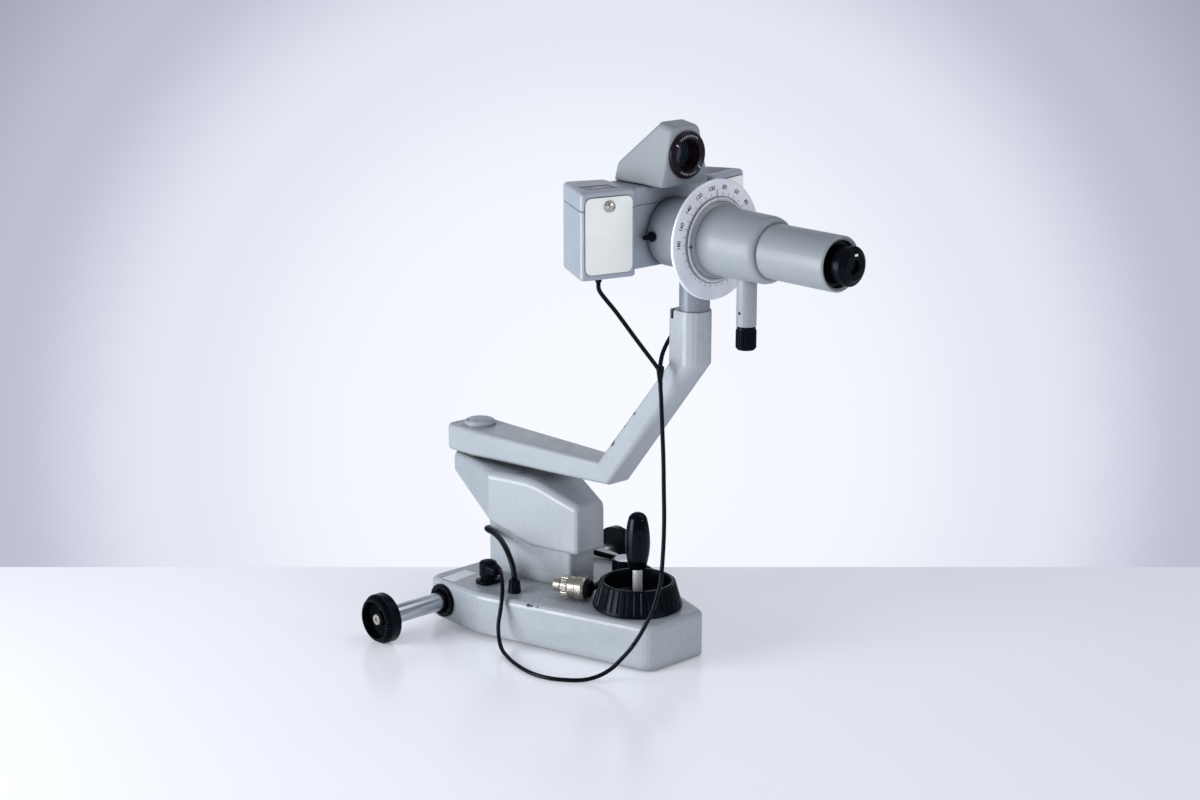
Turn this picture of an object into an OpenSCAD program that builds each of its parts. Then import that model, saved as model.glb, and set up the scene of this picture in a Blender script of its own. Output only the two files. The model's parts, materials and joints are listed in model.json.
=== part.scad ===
// Keratometer on a rolling cross-slide base. Millimetres, +Z up.
// The origin is the underside of the glide foot, below the joystick.
// -Y points to the operator's eyepiece, +Y to the rear of the base, +X to the operator's right.

/* [Base] */
// Height of the casting's flat top above the table
base_top = 50; // [46:0.5:60]
// Gap between the table and the casting at the rear
base_gap = 6; // [5:0.5:8]
// Gap between the table and the casting at the nose
nose_gap = 1.2; // [1:0.1:3]
// Width of the casting at the rear
base_rear_w = 208; // [200:1:220]
// Width of the casting's nose
base_nose_w = 80; // [70:1:90]
// Distance of the nose in front of the joystick
base_nose = 62; // [55:1:70]
// Where the casting reaches its full width, behind the joystick
base_shoulder = 142; // [138:1:150]
// Distance of the rear face behind the joystick
base_rear = 225; // [222:1:240]
// Wall of the base casting
base_wall = 6; // [5:0.5:7]
// Radius of the softened top edge
base_edge = 6; // [3:0.5:7]
// Thickness of the plate that closes the base
plate_t = 3; // [2:0.5:3.5]
// Radius of the glide foot
foot_r = 12; // [10:0.5:14]

/* [Cross axle] */
// Diameter of the axle
axle_d = 20.5; // [18:0.5:22]
// Distance of the axle behind the joystick
axle_y = 200; // [197:1:203]
// Sideways place of the axle, as it was left
axle_shift = -16; // [-30:1:10]
// Gap between the two wheels
wheel_gap = 332; // [320:1:340]
// Tip radius of the toothed wheels
wheel_r = 27; // [25:0.5:28]
// Width of a wheel
wheel_w = 17; // [14:0.5:18]
// Teeth on a wheel
wheel_teeth = 44; // [30:1:48]
// Radius of the flange on a bush
bush_flange_r = 18.4; // [18:0.1:19]

/* [Joystick and height ring] */
// Radius of the height ring at its foot
ring_foot_r = 47.7; // [46:0.1:49]
// Radius of the height ring at its rim
ring_rim_r = 40.5; // [39:0.1:42]
// Height of the ring
ring_h = 28; // [24:0.5:30]
// Flutes round the ring
ring_flutes = 36; // [24:1:48]
// Height of the pivot ball's centre
pivot_ball_z = 30; // [28:0.5:31]
// Radius of the pivot ball
pivot_ball_r = 9; // [8.5:0.1:9.5]
// Diameter of the joystick rod
stick_d = 10.6; // [9:0.1:11]
// Height of the grip's lower end
grip_z = 91; // [88:1:96]
// Length of the grip
grip_h = 62; // [56:1:68]
// Widest radius of the grip
grip_r = 13.2; // [12:0.1:14]

/* [Column and lift] */
// Half-width of the column's front
column_front_hw = 18; // [17.5:0.5:18.5]
// Half-width of the column's rear block
column_rear_hw = 36; // [34:0.5:36.5]
// Front face of the column
column_front_y = 87; // [86.5:0.5:90]
// Rear face of the column
column_rear_y = 204; // [200:1:205]
// Where the column reaches its full width
column_wide_y = 160; // [156:1:170]
// Height of the column's top
column_top = 130; // [128:1:134]
// Lift spindle's distance behind the joystick
spindle_y = 112; // [110:1:114]
// Guide pillar's distance behind the joystick
pillar_y = 180; // [176:1:183]
// Front face of the lift housing
housing_front_y = 73; // [72:1:75]
// Where the housing is widest
housing_wide_y = 189; // [187:1:191]
// Rear face of the lift housing
housing_rear_y = 283; // [281:1:286]
// Height of the housing's flat underside
housing_under = 90; // [89:0.5:92]
// Height of the housing's flat top
housing_top = 165; // [164:0.5:167]

/* [Arm and post] */
// Distance of the arm's pivot behind the joystick
pivot_y = 259; // [257:1:261]
// Half-width of the arm at its pivot
arm_pivot_hw = 27; // [25:0.5:28]
// Half-width of the arm at its bend and upright
arm_hw = 17.5; // [17:0.5:18.5]
// Height of the arm's top at the pivot
arm_top = 197; // [195:0.5:200]
// Height of the arm's upper end
arm_end = 385; // [383:1:388]
// Distance of the head post in front of the joystick
post_reach = 81; // [80:1:82]
// Diameter of the head post
post_d = 31; // [29:0.5:31]
// Radius of the domed pivot cap
pivot_cap_r = 18; // [16:0.5:20]

/* [Head] */
// Height of the optical axis
axis_z = 460; // [458:1:462]
// Radius of the fixed bearing cylinder
bearing_r = 35; // [34:0.5:36]
// Front of the bearing cylinder, from the post
bearing_front = 27; // [26:0.5:30]
// Rear of the bearing cylinder, from the post
bearing_rear = 34; // [32:0.5:35]
// Radius of the degree disc
disc_r = 60; // [57:0.5:62]
// Outer radius of the hub tube
hub_r = 27; // [26:0.1:28]
// Radius of the big telescope tube at its root
big_tube_r = 34.5; // [33.5:0.1:35.5]
// Radius of the small telescope tube
small_tube_r = 27; // [26:0.1:28]
// Front of the big tube, from the post
big_tube_end = 108; // [104:1:112]
// Front of the small tube, from the post
small_tube_end = 193; // [188:1:198]
// Radius of the eyepiece cap
eyecap_r = 19.3; // [18.6:0.1:20]
// Diameter of the handle rod
handle_d = 20; // [18:0.5:21]
// Drop of the knurled knob's lower end below the optical axis
knob_drop = 103; // [98:1:108]
// Height of the knurled knob
knob_h = 23.5; // [20:0.5:25]

/* [Lamp boxes] */
// Height of the boxes' underside
box_under = 422; // [420:1:425]
// Height of the lids' top
box_top = 510; // [508:1:514]
// Height of a lid
lid_h = 18.5; // [16:0.5:21]
// Wall of a box
box_wall = 2.5; // [2:0.1:3]
// Width of a service plate
plate_w = 52; // [48:1:54]
// Height of a service plate
plate_h = 76; // [72:1:78]
// Height of the prism housing above the lids
prism_h = 62; // [60:0.5:66]
// Radius of the reading ring
reading_r = 23.6; // [22:0.1:24]

/* [Cords] */
// Diameter of the lamp cord
lamp_cord_d = 4.4; // [4:0.1:5]
// Diameter of the connector cable
cable_d = 6.2; // [6:0.1:7]

/* [Hidden] */
$fn = 64;
run = 0.05;
gap = 0.3;

foot_t = base_gap - plate_t;
post_y = -post_reach;
rear_hw = base_rear_w / 2;
nose_hw = base_nose_w / 2;
ceiling = base_top - base_wall;
axle_r = axle_d / 2;
axle_z = wheel_r;
sleeve_t = 2.2;
sleeve_depth = 3;
sleeve_r = axle_r + run + sleeve_t;
bush_body_r = sleeve_r + run + 3;
bush_l = 28;
flange_t = 4;
boss_wall = 4;
stick_r = stick_d / 2;
stick_pin_r = 1.6;
lug_w = 6;
lug_r = 4;
post_r = post_d / 2;
handle_r = handle_d / 2;
handle_y = post_y - 72;
knob_z = axis_z - knob_drop;
pillar_r = 11;
pillar_top = 155;
guide_t = 3;
guide_low = base_top + 45;
guide_high = column_top + 20;
spindle_r = 6;
spindle_top = 152;
pulley_z = 33;
pulley_h = 7;
ring_pulley_r = 26;
spindle_pulley_r = 13;
ring_hub_r = 20;
ring_bore_r = 15.5;
ring_well_r = 34;
pin_r = 9;
arm_bush_t = 3;
bush_collar_r = 19;
washer_t = 1.5;
arm_under = housing_top + washer_t;
post_seat = arm_end - 35;
disc_t = 3;
disc_y = post_y - bearing_front;
index_t = 1.8;
index_r = 42;
index_y = disc_y - disc_t - gap;
tube_y = index_y - index_t;
bore_r = hub_r - 4;
hub_rear_y = post_y + 84;
big_tube_y = post_y - big_tube_end;
small_tube_y = post_y - small_tube_end;
small_bore_r = small_tube_r - 4;
eye_sleeve_r = 17;
eye_bore_r = 13;
eye_tip_y = small_tube_y - 18;
lock_pos = [45, 68];
lock_r = 14;
lock_h = 24;
socket_pos = [-71, 162];
gland_pos = [-71, 118];
connector_tip = [-45.2, 79.6];
connector_z = base_top + 13.4;
connector_turn = -67;
prism_front_y = post_y + 14;
prism_under = box_top - 1;
prism_top = prism_under + prism_h;
reading_z = prism_under + 0.484 * prism_h;
lid_z = box_top - lid_h;
seam = 0.5;

// Lamp box outline on the right: inner front, outer front, outer rear, inner rear
box_plan = [[54, -53], [114, -38], [79, 28], [38, 10]];
box_face_turn = atan2(15, 60);
box_face_mid = (box_plan[0] + box_plan[1]) / 2;
box_back_mid = (box_plan[2] + box_plan[3]) / 2;
box_back_turn = atan2(18, 41);
lamp_pos = [72, -12];
cord_exit = [90, -37];
grommet_r = 3;

// Lamp cord and connector cable routes
left_branch_route = [
    [-90, -37, 418], [-89.6, -37.4, 411], [-84, -40, 402], [-74, -45, 388], [-58, -53, 363],
    [-45.5, -59, 344], [-38, -63, 332.5], [-33, -65, 325]
];
right_branch_route = [
    [90, -37, 418], [90, -37, 409], [86, -38, 400], [76, -38, 391], [56, -39, 379], [36, -39, 367],
    [20, -40, 358], [5, -42, 349], [-13, -50, 338], [-24, -58, 331], [-31, -64, 325]
];
trunk_route = [
    [-32, -66, 312.7], [-32, -66, 306], [-33, -68, 297], [-34, -71, 267], [-34, -73, 235], [-36, -76, 204], [-38, -79, 172],
    [-41, -81, 141], [-46, -83, 110], [-51, -83, 95], [-56, -82, 80], [-61, -78, 66], [-66, -73, 52],
    [-71, -66, 38], [-78, -59, 26], [-86, -52, 15], [-96, -43, 7], [-107, -33, 3], [-118, -21, 2.3],
    [-127, -8, 2.3], [-132, 7, 2.3], [-133, 23, 2.3], [-131, 39, 2.3], [-127, 56, 2.5], [-122, 71, 3],
    [-117, 85, 5], [-111, 97, 12], [-106, 104, 25], [-101, 106, 40], [-95, 110, 54], [-87, 119, 63],
    [-79, 130, 67], [-73, 138, 68], [-71, 144.7, 68]
];
cable_route = [
    [-71, 118, 64.8], [-71, 118, 69], [-70, 122, 79], [-68, 129, 86.4], [-65, 137, 91.4], [-60, 148, 94],
    [-54, 160, 95], [-48, 173, 94.8], [-43, 186, 94.6], [-40.8, 196, 94.3], [-37, 204.5, 93.5], [-29, 210, 91.5],
    [-14, 212.5, 87], [4, 213, 82], [22, 211.5, 77], [38, 207, 71], [50, 199, 66], [59, 187, 62], [65, 172, 58.5],
    [70, 157, 56], [75, 141, 54], [79, 123, 53.4], [82, 106, 53.3], [84, 88, 53.3], [82, 70, 53.3], [76, 55, 53.5],
    [64, 46, 54], [47, 45, 55], [29, 50, 57], [12, 55.5, 59.5], [-2.5, 53.8, 61.5], [-15.5, 48.1, 62.6]
];

// Vectors and outlines
function unit(v) = v / norm(v);
function normal_of(v) = [-v[1], v[0]];
function before(i, n) = (i + n - 1) % n;
function after(i, n) = (i + 1) % n;

// Corner b of the run a, b, c, replaced by an arc of radius r in n steps
function corner_arc(a, b, c, r, n) =
    let (u = unit(a - b), v = unit(c - b), half = acos(u * v) / 2)
    let (m = b + unit(u + v) * r / sin(half), p = b + u * r / tan(half), q = b + v * r / tan(half))
    let (s = atan2(p[1] - m[1], p[0] - m[0]), e = atan2(q[1] - m[1], q[0] - m[0]))
    let (sweep = (e - s + 540) % 360 - 180)
    [for (i = [0:n]) m + r * [cos(s + sweep * i / n), sin(s + sweep * i / n)]];

// Outline with every corner rounded; r is one radius, or one for each corner
function rounded(pts, r, n = 4) =
    [for (i = [0:len(pts) - 1])
        each corner_arc(pts[before(i, len(pts))], pts[i], pts[after(i, len(pts))], is_list(r) ? r[i] : r, n)];

// Convex counter-clockwise outline moved inwards by d
function inset(pts, d) =
    [for (i = [0:len(pts) - 1])
        let (b = pts[i], u = normal_of(unit(b - pts[before(i, len(pts))])))
        let (v = normal_of(unit(pts[after(i, len(pts))] - b)))
        b + (u + v) * d / (1 + u * v)];

function mirrored(pts) = [for (i = [len(pts) - 1:-1:0]) [-pts[i][0], pts[i][1]]];
function box_corners(hw, z0, z1) = [[-hw, z0], [hw, z0], [hw, z1], [-hw, z1]];
function at_z(pts, z) = [for (p = pts) [p[0], p[1], z]];
function at_y(pts, y) = [for (p = pts) [p[0], y, p[1]]];
function across(pts, o, v) = [for (p = pts) [p[0], o[1] + p[1] * v[1], o[2] + p[1] * v[2]]];

// Skin over rings that all have the same number of points
module loft(rings) {
    n = len(rings[0]);
    k = len(rings);
    points = [for (r = rings) each r];
    sides = [for (j = [0:k - 2]) for (i = [0:n - 1])
        let (a = j * n + i, b = j * n + after(i, n)) each [[a, a + n, b + n], [a, b + n, b]]];
    foot = [for (i = [0:n - 1]) i];
    head = [for (i = [n - 1:-1:0]) (k - 1) * n + i];
    polyhedron(points = points, faces = concat([foot], sides, [head]), convexity = 8);
}

// Upright casting with softened lower and upper edges
module cast(pts, corner, z0, z1, lower, upper, n = 3) {
    loft(concat(
        [for (i = [0:n]) let (t = 90 * i / n)
            at_z(rounded(inset(pts, lower * (1 - sin(t))), corner), z0 + lower * (1 - cos(t)))],
        [for (i = [0:n]) let (t = 90 * i / n)
            at_z(rounded(inset(pts, upper * (1 - cos(t))), corner), z1 - upper * (1 - sin(t)))]
    ));
}

module block(pts, z0, z1, corner = 0) {
    translate([0, 0, z0])
        linear_extrude(z1 - z0)
            polygon(corner > 0 ? rounded(pts, corner) : pts);
}

module rod_z(r, z0, z1) {
    translate([0, 0, z0]) cylinder(r = r, h = z1 - z0);
}

// Turned part on the optical axis; the profile is [radius, y] pairs
module turned_y(profile) {
    translate([0, 0, axis_z]) rotate([-90, 0, 0]) rotate_extrude() polygon(profile);
}

module rod_y(r, y0, y1, z = axis_z) {
    translate([0, y0, z]) rotate([-90, 0, 0]) cylinder(r = r, h = y1 - y0);
}

// Cord swept along its own points, one ring at each point
function tangent(p, i) = unit(p[min(i + 1, len(p) - 1)] - p[max(i - 1, 0)]);
function carried(side, t) = unit(side - t * (side * t));
function sides_along(p, i, side) =
    let (s = carried(side, tangent(p, i)))
    i == len(p) - 1 ? [s] : concat([s], sides_along(p, i + 1, s));
function cord_rings(p, r, n, first) =
    let (s = sides_along(p, 0, first))
    [for (i = [0:len(p) - 1]) let (t = tangent(p, i), w = cross(t, s[i]))
        [for (k = [0:n - 1]) p[i] + r * (cos(360 * k / n) * s[i] + sin(360 * k / n) * w)]];
module cord(p, d, n = 8) {
    loft(cord_rings(p, d / 2, n, [1, 0, 0]));
}

// Outline with teeth: each tooth has its tip for the given share of the pitch
function teeth(root, tip, count, share = 0.4) =
    [for (i = [0:count - 1]) let (a = 360 / count)
        each [for (s = [[-0.5, root], [-0.2 - share / 2, root], [-share / 2, tip], [share / 2, tip], [0.2 + share / 2, root]])
            if (s[0] > -0.5) s[1] * [cos(a * (i + s[0])), sin(a * (i + s[0]))]]];

// Base
base_plan = [
    [-nose_hw, -base_nose], [nose_hw, -base_nose], [rear_hw, base_shoulder],
    [rear_hw, base_rear], [-rear_hw, base_rear], [-rear_hw, base_shoulder]
];
base_corner = [14, 14, 26, 10, 10, 26];
plate_screw_pos = [[-22, -36], [22, -36], [78, 168], [-78, 168]];

module on_both_sides() {
    for (s = [-1, 1])
        translate([0, axle_y, axle_z]) rotate([0, 90 * s, 0]) children();
}

// Lower rim of the casting, which slopes down to the nose
function skirt_z(y) = nose_gap + (base_gap - nose_gap) * (y + base_nose) / (base_rear + base_nose);

module base_shell() {
    lower = 1.5;
    n = 3;
    loft(concat(
        [for (i = [0:n]) let (t = 90 * i / n)
            [for (p = rounded(inset(base_plan, lower * (1 - sin(t))), base_corner))
                [p[0], p[1], skirt_z(p[1]) + lower * (1 - cos(t))]]],
        [for (i = [0:n]) let (t = 90 * i / n)
            at_z(rounded(inset(base_plan, base_edge * (1 - cos(t))), base_corner), base_top - base_edge * (1 - sin(t)))]
    ));
}

module base_casting() {
    cavity = inset(base_plan, base_wall);
    color("lightslategray")
    difference() {
        union() {
            difference() {
                base_shell();
                block(cavity, 0, ceiling, 8);
            }
            on_both_sides()
                rod_z(bush_body_r + boss_wall, rear_hw - bush_l, rear_hw - base_wall / 2);
            for (p = plate_screw_pos)
                translate(p) rod_z(6, base_gap, ceiling + 1);
        }
        on_both_sides() rod_z(bush_body_r, 0, rear_hw + 1);
        rod_z(ring_hub_r + gap, ceiling - 1, base_top + 1);
        translate([0, spindle_y]) rod_z(spindle_r + 2, ceiling - 1, base_top + 1);
        translate(lock_pos) rod_z(4.2, ceiling - 1, base_top + 1);
        for (p = plate_screw_pos)
            translate(p) rod_z(2, base_gap - 1, base_gap + 12);
    }
}

module base_plate() {
    color("dimgray")
    difference() {
        block(inset(base_plan, base_wall + gap), foot_t, base_gap, 8);
        translate([0, 0, foot_t]) cylinder(r = 6, h = 3 * plate_t, center = true);
        for (p = plate_screw_pos)
            translate(p) rod_z(2.2, foot_t - 1, base_gap + 1);
    }
}

module base_plate_screws() {
    color("silver")
    for (p = plate_screw_pos)
        translate(p) {
            rod_z(2, foot_t - 1.4, base_gap + 9);
            difference() {
                rod_z(4, foot_t - 1.6, foot_t);
                translate([-3, -0.5, foot_t - 2]) cube([6, 1, 1]);
            }
        }
}

module glide_foot() {
    color("black")
    union() {
        rod_z(foot_r, 0, foot_t);
        rod_z(6, foot_t - 0.5, base_gap);
    }
}

module axle_bushes() {
    color("black")
    on_both_sides()
        rotate_extrude()
            polygon([
                [sleeve_r + run, rear_hw - bush_l], [bush_body_r, rear_hw - bush_l],
                [bush_body_r, rear_hw], [bush_flange_r, rear_hw],
                [bush_flange_r, rear_hw + flange_t - 1], [bush_flange_r - 1, rear_hw + flange_t],
                [sleeve_r + 1.5, rear_hw + flange_t], [sleeve_r + run, rear_hw + flange_t - 1.5]
            ]);
}

module axle_sleeves() {
    color("goldenrod")
    on_both_sides()
        difference() {
            rod_z(sleeve_r, rear_hw - bush_l, rear_hw - sleeve_depth);
            rod_z(axle_r + run, 0, rear_hw + flange_t + 1);
        }
}

spigot_r = 6;
spigot_l = 8.5;
module axle_shaft() {
    color("silver")
    translate([axle_shift, axle_y, axle_z]) rotate([0, 90, 0]) {
        cylinder(r = axle_r, h = wheel_gap, center = true);
        difference() {
            cylinder(r = spigot_r, h = wheel_gap + 2 * spigot_l, center = true);
            cylinder(r = 2.5, h = wheel_gap + 2 * spigot_l + 1, center = true);
        }
    }
}

// Wheel along +Z from its inner face: smooth tread, bevelled teeth, and a deep dish round the hub
tooth_w = 5;
hub_z = wheel_w - 5;
module wheel() {
    tread = wheel_w - tooth_w - 1;
    rim_r = wheel_r - 4;
    dish_r = rim_r - 2.4;
    color("black")
    difference() {
        union() {
            rotate_extrude()
                polygon([[0, 0], [wheel_r - 0.6, 0], [wheel_r, 0.6], [wheel_r, tread - 0.6], [wheel_r - 0.6, tread], [0, tread]]);
            translate([0, 0, tread - 0.2])
                linear_extrude(tooth_w + 0.2, scale = (rim_r + 0.6) / (wheel_r - 0.5))
                    polygon(teeth(wheel_r - 2.3, wheel_r - 0.5, wheel_teeth, 0.3));
            rod_z(rim_r - 1.2, tread, wheel_w);
        }
        rotate_extrude()
            polygon([
                [8, 5.5], [dish_r - 3, 5.5], [dish_r - 1, 7.5], [dish_r, wheel_w + 1],
                [0, wheel_w + 1], [0, hub_z], [7.4, hub_z], [8, hub_z - 1]
            ]);
        rod_z(spigot_r, -1, spigot_l);
        rod_z(3, 0, wheel_w);
    }
}

module wheel_screw() {
    difference() {
        union() {
            rod_z(5.6, hub_z, hub_z + 2);
            rod_z(2.5, 2, hub_z + 1);
        }
        translate([0, 0, hub_z + 0.6]) cylinder(r = 2.9, h = 5, $fn = 6);
    }
}

module at_wheel(s) {
    translate([axle_shift + s * wheel_gap / 2, axle_y, axle_z]) rotate([0, 90 * s, 0]) children();
}
module wheel_left() { at_wheel(-1) wheel(); }
module wheel_right() { at_wheel(1) wheel(); }
module wheel_screws() {
    color("dimgray")
    for (s = [-1, 1]) at_wheel(s) wheel_screw();
}

// Joystick
module joystick_socket() {
    rim_z = pivot_ball_z + 3;
    color("dimgray")
    difference() {
        rod_z(14, base_gap, rim_z);
        translate([0, 0, pivot_ball_z]) sphere(r = pivot_ball_r + gap);
        rod_z(5, base_gap + 4, pivot_ball_z);
    }
}

module pivot_ball() {
    color("silver")
    difference() {
        translate([0, 0, pivot_ball_z]) sphere(r = pivot_ball_r);
        translate([-lug_w / 2 - gap, -6.5, pivot_ball_z - lug_r - gap])
            cube([lug_w + 2 * gap, 13, 2 * pivot_ball_r]);
        translate([0, 0, pivot_ball_z]) rotate([0, 90, 0])
            cylinder(r = stick_pin_r, h = 3 * pivot_ball_r, center = true);
        for (t = [-90, 90])
            translate([0, 0, pivot_ball_z]) rotate([t, 0, 0]) rod_z(1.2, pivot_ball_r - 2, pivot_ball_r + 1);
    }
    color("silver")
    translate([0, 0, pivot_ball_z]) rotate([0, 90, 0])
        cylinder(r = stick_pin_r, h = 1.9 * sqrt(pow(pivot_ball_r, 2) - pow(stick_pin_r, 2)), center = true);
}

module joystick_rod() {
    neck_top = pivot_ball_z + pivot_ball_r + 3;
    color("silver")
    difference() {
        union() {
            translate([0, 0, pivot_ball_z]) rotate([0, 90, 0]) cylinder(r = lug_r, h = lug_w, center = true);
            translate([-lug_w / 2, -3, pivot_ball_z]) cube([lug_w, 6, neck_top - pivot_ball_z + 1]);
            rod_z(stick_r, neck_top, grip_z);
            rod_z(stick_r - 1.5, grip_z - 1, grip_z + 40);
        }
        translate([0, 0, pivot_ball_z]) rotate([0, 90, 0])
            cylinder(r = stick_pin_r + run, h = 2 * lug_w, center = true);
    }
}

module joystick_grip() {
    top = grip_z + grip_h;
    color("black")
    rotate_extrude()
        polygon(concat(
            [[stick_r - 1.5, grip_z], [grip_r * 0.64, grip_z], [grip_r * 0.7, grip_z + 0.8]],
            [for (i = [1:11]) let (t = i / 12)
                [grip_r * (0.7 + 0.3 * sin(90 * min(1, t / 0.5)) - 0.22 * pow(max(0, t - 0.5) / 0.5, 2)),
                    grip_z + 0.8 + (grip_h - 9) * t]],
            [for (a = [10:10:90]) [grip_r * 0.77 * cos(a), top - 9 + 9 * sin(a)]],
            [[0, grip_z + 40], [stick_r - 1.5, grip_z + 40]]
        ));
}

module height_ring() {
    z0 = base_top + gap;
    rim = base_top + ring_h;
    color("black")
    difference() {
        union() {
            translate([0, 0, z0 + 1])
                linear_extrude(ring_h - gap - 2, scale = ring_rim_r / ring_foot_r)
                    polygon(teeth(ring_foot_r, ring_foot_r - 1.3, ring_flutes, 0.1));
            rotate_extrude()
                polygon([
                    [0, z0], [ring_foot_r - 1.6, z0], [ring_foot_r - 0.5, z0 + 0.5], [ring_foot_r, z0 + 1.5],
                    [ring_foot_r - 1.5, z0 + 4.5], [0, z0 + 4.5]
                ]);
            rotate_extrude()
                polygon([[0, rim - 3], [ring_rim_r - 1.5, rim - 3], [ring_rim_r - 1.5, rim - 0.6], [ring_rim_r - 2.1, rim], [0, rim]]);
            rod_z(ring_hub_r, pulley_z + pulley_h, z0 + 1);
        }
        rod_z(ring_bore_r, 0, rim);
        rotate_extrude()
            polygon([
                [0, z0 + 5], [ring_well_r - 4, z0 + 5], [ring_well_r, z0 + 8],
                [ring_well_r + 1, rim - 2], [ring_well_r + 3, rim + 1], [0, rim + 1]
            ]);
    }
}

// Grooved belt pulley
module pulley(r, bore) {
    difference() {
        union() {
            rod_z(r, pulley_z, pulley_z + pulley_h);
            rod_z(r + 2, pulley_z, pulley_z + 1);
            rod_z(r + 2, pulley_z + pulley_h - 1, pulley_z + pulley_h);
        }
        rod_z(bore, pulley_z - 1, pulley_z + pulley_h + 1);
    }
}
module ring_pulley() {
    color("goldenrod") pulley(ring_pulley_r, ring_bore_r);
}
module spindle_pulley() {
    color("goldenrod") translate([0, spindle_y]) pulley(spindle_pulley_r, spindle_r);
}

module belt_outline(grow) {
    hull() {
        circle(r = ring_pulley_r + grow);
        translate([0, spindle_y]) circle(r = spindle_pulley_r + grow);
    }
}
module drive_belt() {
    color("black")
    translate([0, 0, pulley_z + 1.5]) linear_extrude(pulley_h - 3)
        difference() {
            belt_outline(1.8);
            belt_outline(gap);
        }
}

module base_lock_knob() {
    color("black")
    translate(lock_pos)
        difference() {
            union() {
                rod_z(4, ceiling - 4, base_top + 3);
                rod_z(8, base_top + gap, base_top + 5);
                translate([0, 0, base_top + 5]) linear_extrude(lock_h - 6) polygon(teeth(lock_r - 0.9, lock_r, 24, 0.5));
                rod_z(lock_r - 1.2, base_top + lock_h - 2, base_top + lock_h);
            }
            rod_z(lock_r - 2.5, base_top + lock_h - 1.5, base_top + lock_h + 1);
        }
}
module lock_knob_cap() {
    r = lock_r - 2.5;
    color("lightgray")
    translate([lock_pos[0], lock_pos[1], base_top + lock_h - 1.5])
        rotate_extrude() polygon([[0, 0], [r, 0], [r, 1.6], [r - 1.5, 3], [r - 4, 3.6], [0, 3.8]]);
}

// Column and lift
function column_outline(grow) =
    let (f = column_front_hw + grow, r = column_rear_hw + grow)
    let (y0 = column_front_y - grow, y1 = column_rear_y + grow)
    rounded([[-f, y0], [f, y0], [r, column_wide_y], [r, y1], [-r, y1], [-r, column_wide_y]], [5, 5, 10, 6, 6, 10]);

module lower_column() {
    color("lightslategray")
    difference() {
        translate([0, 0, base_top]) linear_extrude(column_top - base_top) polygon(column_outline(0));
        translate([0, spindle_y]) {
            rod_z(spindle_r + run, base_top - 1, column_top + 1);
            rod_z(spindle_r + guide_t + run, guide_low - 2, column_top + 1);
        }
        translate([0, pillar_y]) {
            rod_z(pillar_r, base_top + 10, column_top + 1);
            rod_z(pillar_r + guide_t + run, guide_low - 2, column_top + 1);
        }
    }
}

module guide_pillar() {
    color("silver") translate([0, pillar_y]) rod_z(pillar_r, base_top + 10, pillar_top);
}

module lift_spindle() {
    color("silver") translate([0, spindle_y]) rod_z(spindle_r, pulley_z, spindle_top);
}

function housing_hw(y) =
    y < housing_wide_y
    ? 20 + 27 * (y - housing_front_y) / (housing_wide_y - housing_front_y)
    : 47 - 27 * (y - housing_wide_y) / (housing_rear_y - housing_wide_y);
function housing_low(y) = housing_under + 48 * max(0, y - 136) / 138;
function housing_high(y) =
    y < 124 ? housing_top - 3 - 16 * (124 - y) / 47 : housing_top - 3 + 3 * min(1, (y - 124) / 16);

function housing_ring(y, d) =
    at_y(rounded(box_corners(housing_hw(y) - d, housing_low(y) + d, housing_high(y) - d), [4, 4, 8, 8]), y);

cavity_gap = 1.2;
module lift_housing() {
    front = [[4, 0], [1.2, 1.2], [0, 4]];
    color("lightslategray")
    difference() {
        loft(concat(
            [for (i = [0:2]) housing_ring(housing_rear_y - front[i][1], front[i][0])],
            [for (y = [264, housing_wide_y, 140, 136, 124]) housing_ring(y, 0)],
            [for (i = [2:-1:0]) housing_ring(housing_front_y + front[i][1], front[i][0])]
        ));
        translate([0, 0, housing_under - 5])
            linear_extrude(column_top + cavity_gap + 3 - housing_under + 5) polygon(column_outline(cavity_gap));
        translate([0, pillar_y]) rod_z(pillar_r + guide_t, column_top, pillar_top + 2);
        translate([0, spindle_y]) rod_z(spindle_r + guide_t, column_top, spindle_top + 2);
        translate([0, pivot_y]) rod_z(pin_r, 144, housing_top + 1);
    }
}

// Long sleeve that hangs from the housing into a bore of the column
module lift_sleeve(y, r) {
    color("goldenrod")
    translate([0, y])
        difference() {
            rod_z(r + guide_t, guide_low, guide_high);
            rod_z(r + run, guide_low - 1, guide_high + 1);
        }
}
module lift_nut() { lift_sleeve(spindle_y, spindle_r); }
module guide_bush() { lift_sleeve(pillar_y, pillar_r); }

module pivot_pin() {
    color("silver") translate([0, pivot_y]) rod_z(pin_r, 144, arm_top - 2);
}

// Arm: sections along its crank, widths and thicknesses at each
arm_bend_low = [30, 179];
arm_bend_high = [45, 202];
arm_elbow_low = [post_y - arm_hw, 331];
arm_elbow_high = [post_y + 20, 328];
function arm_section(low, high, hw, d, r_low, r_high) =
    let (a = [0, low[0], low[1]], b = [0, high[0], high[1]], v = unit(b - a), h = norm(b - a) / 2)
    across(rounded(box_corners(hw - d, d - h, h - d), [r_low, r_low, r_high, r_high], 5), (a + b) / 2, v);

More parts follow.
